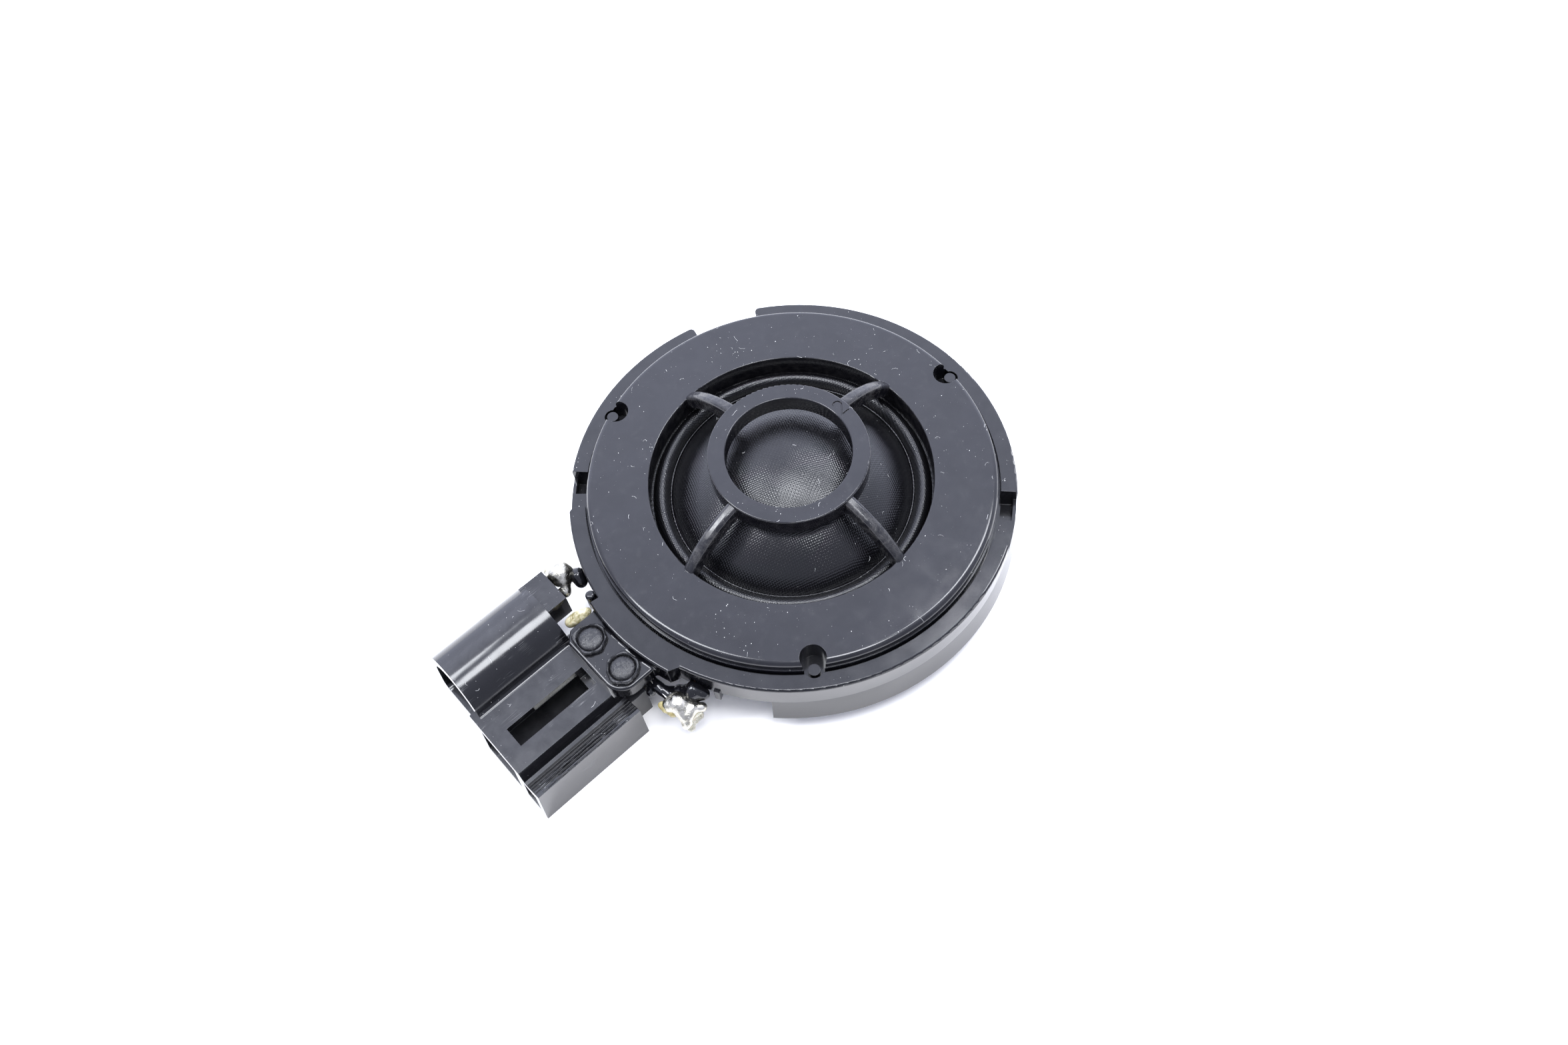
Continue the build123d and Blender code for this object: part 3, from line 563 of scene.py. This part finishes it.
def piece(name, vertices, faces, look, slot, smooth=True):
    """New mesh object from points in millimetres."""
    mesh = bpy.data.meshes.new(name)
    mesh.from_pydata([Vector(v) * MM for v in vertices], [], faces)
    bm = bmesh.new()
    bm.from_mesh(mesh)
    bmesh.ops.recalc_face_normals(bm, faces=bm.faces)
    for edge in bm.edges:
        edge.smooth = edge.calc_face_angle(0) < CREASE
    bm.to_mesh(mesh)
    bm.free()
    mesh.materials.append(LOOKS[look])
    mesh.polygons.foreach_set("use_smooth", [smooth] * len(mesh.polygons))
    obj = bpy.data.objects.new(name, mesh)
    bpy.context.scene.collection.objects.link(obj)
    return obj


def loft(rings, closed_ends=True):
    """Vertices and faces of a skin over closed rings of equal length, with capped ends."""
    size = len(rings[0])
    vertices = [v for ring in rings for v in ring]
    faces = []
    for row in range(len(rings) - 1):
        for i in range(size):
            a = row * size + i
            b = row * size + (i + 1) % size
            faces.append((a, b, b + size, a + size))
    if closed_ends:
        for row, direction in ((0, -1), (len(rings) - 1, 1)):
            centre = len(vertices)
            ring = rings[row]
            vertices.append(sum((Vector(v) for v in ring), Vector()) / size)
            for i in range(size):
                a, b = row * size + i, row * size + (i + 1) % size
                faces.append((centre, a, b)[::direction])
    return vertices, faces


def tube(path, radius, sides=8):
    """Round wire along a list of points; radius may be a function of the share along it."""
    rings = []
    side = Vector((0, 0, 1))
    for i, point in enumerate(path):
        ahead = (path[min(i + 1, len(path) - 1)] - path[max(i - 1, 0)]).normalized()
        side = (side - ahead * side.dot(ahead)).normalized()
        other = ahead.cross(side)
        half = radius(i / (len(path) - 1)) if callable(radius) else radius
        ring = []
        for k in range(sides):
            angle = math.tau * k / sides
            ring.append(point + (side * math.cos(angle) + other * math.sin(angle)) * half)
        rings.append(ring)
    return loft(rings)


def blob(name, balls, look, slot, replaced, wrinkle):
    """Lump of melted or cured material from soft overlapping balls of (x, y, z, radius) in mm."""
    data = bpy.data.metaballs.new(name + "_balls")
    data.resolution = data.render_resolution = BALL_FINENESS
    data.threshold = BALL_THRESHOLD
    for x, y, z, radius in balls:
        element = data.elements.new()
        element.co = (x, y, z)
        element.radius = radius / BALL_SHARE
    source = bpy.data.objects.new(name + "_balls", data)
    bpy.context.scene.collection.objects.link(source)
    bpy.context.view_layer.update()
    evaluated = source.evaluated_get(bpy.context.evaluated_depsgraph_get())
    mesh = bpy.data.meshes.new_from_object(evaluated)
    vertices = [Vector(v.co) for v in mesh.vertices]
    normals = [Vector(v.normal) for v in mesh.vertices]
    faces = [tuple(p.vertices) for p in mesh.polygons]
    bpy.data.objects.remove(source)
    bpy.data.metaballs.remove(data)
    bpy.data.meshes.remove(mesh)
    moved = [v + n * (wrinkle * noise(v * WRINKLE_SCALE)) for v, n in zip(vertices, normals)]
    obj = piece(name, moved, faces, look, slot)
    if replaced:
        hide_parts(replaced)
    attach(obj, "housing")


def drop(skin, x, y):
    """Where a ray straight down first meets a skin, and the normal there, or None twice."""
    return skin.ray_cast(Vector((x, y, SKY)), Vector((0, 0, -1)))[:2]


def join(vertices, faces, part):
    """Append one part's points and faces to a growing mesh."""
    offset = len(vertices)
    vertices += part[0]
    faces += [tuple(i + offset for i in face) for face in part[1]]


def skin_of(*names):
    """Search tree over CAD nodes and built pieces, to find what lies under a point."""
    vertices, faces = [], []
    for name in names:
        mesh = bpy.data.objects[name].data if name in bpy.data.objects else NODES[name].data
        join(vertices, faces, ([v.co / MM for v in mesh.vertices], [p.vertices for p in mesh.polygons]))
    return BVHTree.FromPolygons(vertices, faces)


# Diaphragm -------------------------------------------------------------------

DOME_LOW, DOME_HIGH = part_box("diaphragm_dome")
DOME_R = DOME_HIGH.x / MM
DOME_FOOT = DOME_LOW.z / MM
DOME_CROWN = DOME_HIGH.z / MM
DOME_SPHERE_R = (DOME_R**2 + (DOME_CROWN - DOME_FOOT) ** 2) / (2 * (DOME_CROWN - DOME_FOOT))
CLOTH = 0.12
DOME_ROWS = 48
DOME_AROUND = 180
# How the dome's rows crowd toward its edge
DOME_CROWDING = 0.9
# Pressing marks in the cloth, broad and small: seed, scale and depth
DENTS = ((3.0, 0.22, 0.05), (9.0, 0.7, 0.012))
DENT_FADE = 2

SEAM_STEPS = 720
SEAM_SIDES = 8
SEAM_THREADS = 176
SEAM_R = DOME_R - 0.14
SEAM_Z = DOME_FOOT + 0.3
# Least half thickness of the seam's bead, and what a thread and the slow drift add to it
SEAM_HALF, SEAM_LUMP, SEAM_DRIFT = 0.085, 0.03, 0.05

ROLL_FOOT = 7.25
ROLL_RISE = 0.9
ROLL_INNER = 12.64
ROLL_OUTER = 14.5
FLANGE_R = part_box("surround")[1].x / MM
FLANGE_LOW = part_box("surround")[0].z / MM
ROLL_ROUNDNESS = 2.2
ROLL_STEPS = 14
# How much the roll's cloth takes off its height and off each side
ROLL_CLOTH, ROLL_SIDE_CLOTH = 0.14, 0.06
SECTORS = 24
SECTOR_STEPS = 10

LEAD_DEGREES = {"left": 159.8, "right": 202.8}
LEAD_POINTS = 60
LEAD_INNER, LEAD_FIXED, LEAD_OUTER = 13.25, 14.2, 23.0
LEAD_Z = 6.45
LEAD_LIFT = 0.4
LEAD_HALF, LEAD_TWIST = 0.13, 0.02


def dome_height(radius):
    return DOME_CROWN - DOME_SPHERE_R + math.sqrt(DOME_SPHERE_R**2 - radius**2)


def build_dome():
    """Thin cloth cap, very slightly uneven as pressed silk is."""
    radii = [DOME_R * (i / DOME_ROWS) ** DOME_CROWDING for i in range(1, DOME_ROWS + 1)]
    outer, inner = [], []
    for radius in radii:
        for rows, below in ((outer, 0.0), (inner, CLOTH)):
            ring = []
            for k in range(DOME_AROUND):
                angle = math.tau * k / DOME_AROUND
                x, y = radius * math.cos(angle), radius * math.sin(angle)
                dent = sum(noise(Vector((x, y, seed)) * scale) * depth for seed, scale, depth in DENTS)
                fade = min(1, (DOME_R - radius) / DENT_FADE)
                ring.append(Vector((x, y, dome_height(radius) - below + min(dent, 0) * fade)))
            rows.append(ring)
    vertices, faces = loft(outer + inner[::-1])
    dome = piece("dome_cloth", vertices, faces, "silk", "silk")
    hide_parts("diaphragm_dome")
    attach(dome, "diaphragm")


def build_seam():
    """Bead of doped thread where dome and surround meet, lumpy at each thread it crosses."""
    rings = []
    for k in range(SEAM_STEPS):
        degrees = 360 * k / SEAM_STEPS
        lump = 0.5 + 0.5 * math.sin(math.radians(degrees) * SEAM_THREADS)
        size = SEAM_HALF + SEAM_LUMP * lump + SEAM_DRIFT * noise(polar(4.5, degrees, 5.0))
        middle = polar(SEAM_R, degrees, SEAM_Z)
        outward = polar(1, degrees, 0)
        ring = []
        for side in range(SEAM_SIDES):
            angle = math.tau * side / SEAM_SIDES
            lift = Vector((0, 0, math.sin(angle) * size))
            ring.append(middle + outward * (math.cos(angle) * size) + lift)
        rings.append(ring)
    vertices, faces = loft(rings, closed_ends=False)
    last = (SEAM_STEPS - 1) * SEAM_SIDES
    for i in range(SEAM_SIDES):
        after = (i + 1) % SEAM_SIDES
        faces.append((last + i, last + after, after, i))
    seam = piece("dome_seam", vertices, faces, "surround", "silk")
    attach(seam, "diaphragm")


def roll_profile():
    """Outline of the half-roll and its flange, in radius and height."""
    upper, lower = [], []
    crest = (ROLL_INNER + ROLL_OUTER) / 2
    half = (ROLL_OUTER - ROLL_INNER) / 2
    for i in range(ROLL_STEPS + 1):
        share = -1 + 2 * i / ROLL_STEPS
        rise = ROLL_RISE * (1 - abs(share) ** ROLL_ROUNDNESS)
        upper.append((crest + half * share, ROLL_FOOT + rise))
        low = max(ROLL_FOOT + rise - ROLL_CLOTH, FLANGE_LOW)
        lower.append((crest + (half - ROLL_SIDE_CLOTH) * share, low))
    upper.append((FLANGE_R, ROLL_FOOT))
    lower.append((FLANGE_R, FLANGE_LOW))
    return upper + lower[::-1]


def build_surround():
    """Cloth half-roll in sectors, each blended from the dome to the clamped flange."""
    profile = roll_profile()
    size = len(profile)
    for index in range(SECTORS):
        first = 360 * index / SECTORS
        rings = []
        for k in range(SECTOR_STEPS + 1):
            degrees = first + 360 / SECTORS * k / SECTOR_STEPS
            rings.append([polar(r, degrees, z) for r, z in profile])
        vertices, faces = loft(rings, closed_ends=False)
        faces.append(tuple(range(size))[::-1])
        faces.append(tuple(range(SECTOR_STEPS * size, (SECTOR_STEPS + 1) * size)))
        sector = piece(f"surround_{index + 1:02d}", vertices, faces, "surround", "surround_silk")
        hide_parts("surround")
        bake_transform(sector)


def lead_half(share):
    """Half thickness of a lead, which its twist varies along it."""
    return LEAD_HALF + LEAD_TWIST * math.sin(round(share * (LEAD_POINTS - 1)) * 1.9)


def build_coil_leads():
    """Tinsel leads, from beside the winding to the rim, each with a little slack."""
    for side, degrees in LEAD_DEGREES.items():
        path = []
        for k in range(LEAD_POINTS):
            share = k / (LEAD_POINTS - 1)
            radius = LEAD_INNER + (LEAD_OUTER - LEAD_INNER) * share
            path.append(polar(radius, degrees, LEAD_Z + LEAD_LIFT * max(0, 1 - share * 9) ** 2))
        lead = piece(f"coil_lead_wire_{side}", *tube(path, lead_half), "copper", "copper")
        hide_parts("coil_lead_" + side)
        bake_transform(lead)


# Stakes, solder and sealant --------------------------------------------------

TAB_TOP = 7.7
# Place of each stake's axis, and the seed of its unevenness
STAKES = {"left": (-25.95, 0.93, 11.0), "right": (-25.62, -3.63, 23.0)}
# Radius and height over the tab of the headed stake, from its foot to its crown
STAKE_PROFILE = (
    (0.86, -1.7), (0.86, 0.0), (1.55, 0.0), (1.62, 0.12), (1.63, 0.3), (1.56, 0.47), (1.46, 0.54),
    (1.38, 0.5), (1.34, 0.3), (1.3, 0.2), (1.25, 0.3), (1.14, 0.43), (0.9, 0.51), (0.62, 0.57),
    (0.32, 0.59), (0.12, 0.6),
)
STAKE_AROUND = 96
CROWN_R = 1.3
CROWN_HEIGHT = 0.3
LIP_STEEPNESS = 3.5
LIP_UNEVEN, LIP_FINE, CROWN_UNEVEN = 0.22, 0.04, 0.03
# The left stake's lip spills out on one side: direction and width in degrees, and reach
SPILL_TOWARD, SPILL_WIDTH, SPILL_REACH = 128, 26, 0.35


def stake_spill(side, degrees):
    """How much further a stake's lip reaches in a direction."""
    if side != "left":
        return 0.0
    off = (degrees - SPILL_TOWARD + 180) % 360 - 180
    return SPILL_REACH * math.exp(-(off / SPILL_WIDTH) ** 2)


def build_stakes():
    """Melted stake heads: a low crown, a pressed groove round it, and an uneven squeezed-out lip."""
    for side, (x, y, seed) in STAKES.items():
        rings = []
        for row, (radius, height) in enumerate(STAKE_PROFILE):
            lip = max(0.0, min(1.0, (radius - CROWN_R) * LIP_STEEPNESS)) if row > 1 else 0.0
            ring = []
            for k in range(STAKE_AROUND):
                degrees = 360 * k / STAKE_AROUND
                around = polar(1, degrees, 0)
                uneven = noise(around * 1.6 + Vector((seed, row * 0.1, 0))) * LIP_UNEVEN
                fine = noise(around * 6 + Vector((seed, row * 0.3, 4))) * LIP_FINE
                grow = lip * (uneven + fine + stake_spill(side, degrees))
                lift = lip * (uneven + fine) * (0.7 if height > 0.2 else 0)
                flat = CROWN_UNEVEN * noise(Vector((around.x * radius, around.y * radius, seed)) * 2.4)
                dent = flat if height > CROWN_HEIGHT and radius < CROWN_R else 0.0
                z = TAB_TOP + height + lift + dent
                ring.append(Vector((x, y, 0)) + around * (radius + grow) + Vector((0, 0, z)))
            rings.append(ring)
        stake = piece(f"stake_{side}", *loft(rings), "stake", "stake_plastic")
        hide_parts("heat_stakes")
        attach(stake, "housing")


# Piece, look, slot, CAD node that it replaces, wrinkle, and balls as (x, y, z, radius)
BLOBS = (
    ("solder_blob_left", "solder", "solder", "solder_joint_left", 0.07, (
        (-23.65, 9.25, 6.95, 1.3), (-23.3, 9.75, 6.6, 0.8), (-24.25, 9.85, 6.75, 0.6),
        (-24.15, 8.3, 6.5, 0.8), (-24.4, 7.6, 6.3, 0.6), (-23.1, 8.9, 6.5, 0.7),
    )),
    ("flux_left", "frost", "solder", None, 0.08, (
        (-24.3, 10.25, 6.95, 0.5), (-23.8, 10.5, 6.8, 0.4), (-24.6, 9.7, 7.05, 0.4),
    )),
    ("solder_blob_right", "solder", "solder", "solder_joint_right", 0.08, (
        (-23.7, -9.05, 5.5, 1.05), (-23.65, -9.95, 5.2, 0.95), (-23.9, -10.7, 4.95, 0.75),
        (-24.35, -11.1, 4.7, 0.5), (-22.95, -10.4, 5.15, 0.75), (-22.25, -10.95, 5.15, 0.5),
        (-24.4, -8.6, 5.25, 0.7),
    )),
    ("flux_right", "flux", "solder", None, 0.06, (
        (-24.75, -8.6, 5.2, 0.55), (-24.6, -9.4, 5.0, 0.5), (-24.9, -8.05, 5.1, 0.4),
    )),
    ("flux_right_tip", "frost", "solder", None, 0.06, (
        (-23.5, -11.25, 4.8, 0.5), (-24.25, -11.55, 4.5, 0.42), (-22.85, -11.3, 4.85, 0.42),
    )),
    ("sealant_left", "sealant", "sealant", "lead_seal_left", 0.06, (
        (-22.35, 8.0, 6.6, 0.8), (-22.5, 7.4, 6.25, 0.65), (-22.65, 8.5, 6.35, 0.6),
    )),
    ("sealant_right", "sealant", "sealant", "lead_seal_right", 0.07, (
        (-21.75, -9.3, 5.9, 0.9), (-22.2, -9.5, 5.3, 0.8), (-22.4, -8.6, 5.4, 0.6),
        (-21.3, -10.1, 5.5, 0.65), (-22.7, -8.0, 5.2, 0.5),
    )),
    ("sealant_contact", "sealant", "sealant", None, 0.08, (
        (-24.0, -5.5, 5.0, 0.6), (-23.95, -6.3, 5.1, 0.6), (-23.85, -7.1, 5.15, 0.62),
        (-23.75, -7.9, 5.15, 0.6), (-24.7, -6.0, 4.5, 0.5), (-23.2, -7.7, 4.8, 0.65),
    )),
    ("adhesive_lump", "adhesive", "adhesive", "adhesive_bead", 0.07, (
        (-25.75, 4.5, 6.3, 0.6), (-25.2, 4.3, 6.6, 0.65), (-24.55, 4.1, 6.8, 0.55),
        (-26.2, 4.6, 6.2, 0.45), (-24.1, 4.0, 6.9, 0.35),
    )),
)


def build_blobs():
    for name, look, slot, replaced, wrinkle, balls in BLOBS:
        blob(name, balls, look, slot, replaced, wrinkle)


# Moulding ridges -------------------------------------------------------------

RIDGE_SPAN = (-38.6, -28.1)
RIDGE_STEPS = 150
# Distance from the axis along Y, half width and height of each ridge on the side wall's slope
RIDGES = ((-7.12, 0.09, 0.18), (-6.8, 0.08, 0.14), (-6.45, 0.11, 0.2), (-6.05, 0.08, 0.12))
# Outline of a ridge across, in shares of its half width and of its height
RIDGE_OUTLINE = ((-1, -0.05), (-0.6, 0.45), (0, 1.0), (0.5, 0.6), (1, -0.05), (0, -0.4))


def build_ridges():
    """Torn, uneven lines of flash along the top of the connector's side wall."""
    wall = skin_of("connector_housing")
    for index, (y, half, height) in enumerate(RIDGES):
        rings = []
        for k in range(RIDGE_STEPS + 1):
            x = RIDGE_SPAN[0] + (RIDGE_SPAN[1] - RIDGE_SPAN[0]) * k / RIDGE_STEPS
            drift = 0.05 * noise(Vector((x * 0.8, index * 7.0, 0)))
            drift += 0.02 * noise(Vector((x * 5, index * 3.0, 5)))
            swell = 1 + 0.9 * noise(Vector((x * 1.4, index * 5.0, 9)))
            swell += 0.4 * noise(Vector((x * 6, index, 2)))
            taper = min(1, 4 * min(k, RIDGE_STEPS - k) / RIDGE_STEPS + 0.1)
            tall = height * max(0.15, swell) * taper
            ring = []
            for across, rise in RIDGE_OUTLINE:
                at, _ = drop(wall, x, y + drift + across * half)
                ring.append(at + Vector((0, 0, rise * tall)))
            rings.append(ring)
        ridge = piece(f"mould_ridge_{index + 1}", *loft(rings), "socket", "connector_plastic")
        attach(ridge, "housing")


# Dust and lint ---------------------------------------------------------------

DUST_SLOTS = {"housing": "cover_plastic", "diaphragm": "silk"}
# Chips in each place: how many, least and greatest size, and seed
CHIPS = {
    "cover": (620, 0.014, 0.085, 3),
    "dome": (240, 0.011, 0.05, 5),
    "socket": (170, 0.012, 0.06, 7),
}
# Fibres in each place: how many, and seed
FIBRES = {"cover": (55, 13), "dome": (24, 17), "socket": (14, 19)}
CHIP_TRIES, FIBRE_TRIES = 40, 60
CHIP_SKEW = 3.5
# Least upward part of the normal on which a chip or a fibre lies
CHIP_SLOPE, FIBRE_SLOPE = 0.25, 0.3
FIBRE_POINTS = 12
FIBRE_FEWEST_POINTS = 6
FIBRE_LONGEST_STEP = 0.25
FIBRE_LENGTH = (0.3, 1.4)
FIBRE_HALF = (0.007, 0.013)
# Turn along a whole fibre, and at random at each of its points, in radians
FIBRE_CURL, FIBRE_WANDER = 4.0, 0.25
# Guard ring, cover's opening, and the part of the dome that dust can lie on
RING_R = 8.3
OPENING_R = 14.4
DUSTY_DOME_R = 12.2
SOCKET_START = -25
# Distance across the object over which dust thins toward the camera
THINNING = 44
PATCH_SCALE = 0.16
COVER_AREA = ((-21, 21), (-21, 21))
DOME_AREA = ((-DUSTY_DOME_R, DUSTY_DOME_R), (-DUSTY_DOME_R, DUSTY_DOME_R))
SOCKET_AREA = ((-39, -24), (-7.5, 11.5))


def chip(rng, at, normal, size):
    """Small closed chip with an uneven outline, lying on a surface."""
    side = normal.orthogonal().normalized()
    other = normal.cross(side)
    count = rng.choice((5, 6, 7))
    stretch = rng.uniform(0.5, 1.0)
    spin = rng.uniform(0, math.tau)
    low, high = [], []
    for k in range(count):
        angle = math.tau * k / count
        reach = size * rng.uniform(0.6, 1.0)
        x, y = reach * math.cos(angle), reach * stretch * math.sin(angle)
        x, y = x * math.cos(spin) - y * math.sin(spin), x * math.sin(spin) + y * math.cos(spin)
        low.append(at + side * x + other * y - normal * size * 0.15)
        high.append(at + (side * x + other * y) * 0.6 + normal * size * rng.uniform(0.3, 0.6))
    return loft([low, high])


def fibre(rng, skin, x, y):
    """Short curled fibre that follows a skin from a point, or None where the skin ends or turns away."""
    heading, curl = rng.uniform(0, math.tau), rng.uniform(-FIBRE_CURL, FIBRE_CURL)
    length, half = rng.uniform(*FIBRE_LENGTH), rng.uniform(*FIBRE_HALF)
    path = []
    for k in range(FIBRE_POINTS):
        at, normal = drop(skin, x, y)
        if at is None or normal.z < FIBRE_SLOPE:
            break
        if path and abs(path[-1].z - at.z) > FIBRE_LONGEST_STEP:
            break
        path.append(at + Vector((0, 0, half * 0.8 + 0.04 * math.sin(k * 0.5))))
        heading += curl / FIBRE_POINTS + rng.uniform(-FIBRE_WANDER, FIBRE_WANDER)
        x += math.cos(heading) * length / FIBRE_POINTS
        y += math.sin(heading) * length / FIBRE_POINTS
    return tube(path, half, 5) if len(path) >= FIBRE_FEWEST_POINTS else None


def scatter_chips(place, skin, area, density, body):
    """Dust chips over the surfaces of a skin that face up; density is a function of x and y."""
    count, least, greatest, seed = CHIPS[place]
    rng = random.Random(seed)
    vertices, faces = [], []
    placed = 0
    for _ in range(count * CHIP_TRIES):
        if placed == count:
            break
        x, y = rng.uniform(*area[0]), rng.uniform(*area[1])
        if rng.random() > density(x, y):
            continue
        at, normal = drop(skin, x, y)
        if at is None or normal.z < CHIP_SLOPE:
            continue
        size = least + (greatest - least) * rng.random() ** CHIP_SKEW
        join(vertices, faces, chip(rng, at, normal, size))
        placed += 1
    dust = piece(f"dust_{place}", vertices, faces, "dust", DUST_SLOTS[body], smooth=False)
    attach(dust, body)


def scatter_fibres(place, skin, area, density, body):
    """Lint on the surfaces of a skin that face up; density is a function of x and y."""
    count, seed = FIBRES[place]
    rng = random.Random(seed)
    vertices, faces = [], []
    placed = 0
    for _ in range(count * FIBRE_TRIES):
        if placed == count:
            break
        x, y = rng.uniform(*area[0]), rng.uniform(*area[1])
        if rng.random() > density(x, y):
            continue
        part = fibre(rng, skin, x, y)
        if part:
            join(vertices, faces, part)
            placed += 1
    lint = piece(f"lint_{place}", vertices, faces, "lint", DUST_SLOTS[body])
    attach(lint, body)


def patchy(x, y, seed, sharp):
    """Share of dust at a place: it gathers in loose patches."""
    value = 0.5 + 0.5 * noise(Vector((x * PATCH_SCALE, y * PATCH_SCALE, seed)))
    return min(1.0, (value * 1.25) ** sharp)


def far_side(x, y):
    """From 0 near the camera's side to 1 beyond the dome."""
    return min(1.0, max(0.0, 0.5 + (x * TENT_BACK[0] + y * TENT_BACK[1]) / THINNING))


def on_cover(x, y):
    radius = math.hypot(x, y)
    share = 1.0 if radius < RING_R else 0.55 + 0.45 * far_side(x, y)
    return share * patchy(x, y, 2.0, 3.0) * (0 if OPENING_R > radius > RING_R else 1)


def on_dome(x, y):
    if math.hypot(x, y) >= DUSTY_DOME_R:
        return 0
    return (0.4 + 0.6 * far_side(x, y)) * patchy(x, y, 6.0, 2.0)


def on_socket(x, y):
    return patchy(x, y, 9.0, 2.0) if x < SOCKET_START else 0


def build_dust():
    """Dust chips and lint on the cover and rim, on the dome, and on the connector."""
    cover = skin_of("front_cover", "basket")
    socket = skin_of("connector_housing", "basket", "front_cover")
    dome = skin_of("dome_cloth")
    places = {
        "cover": (cover, COVER_AREA, on_cover, "housing"),
        "dome": (dome, DOME_AREA, on_dome, "diaphragm"),
        "socket": (socket, SOCKET_AREA, on_socket, "housing"),
    }
    for place, settings in places.items():
        scatter_chips(place, *settings)
    for place, settings in places.items():
        scatter_fibres(place, *settings)


make_camera()
make_world()
make_panels()
make_fill()
make_floor()
dress_cad_nodes()
build_dome()
build_seam()
build_surround()
build_coil_leads()
build_stakes()
build_blobs()
build_ridges()
build_dust()
bpy.context.scene.view_settings.view_transform = "Standard"
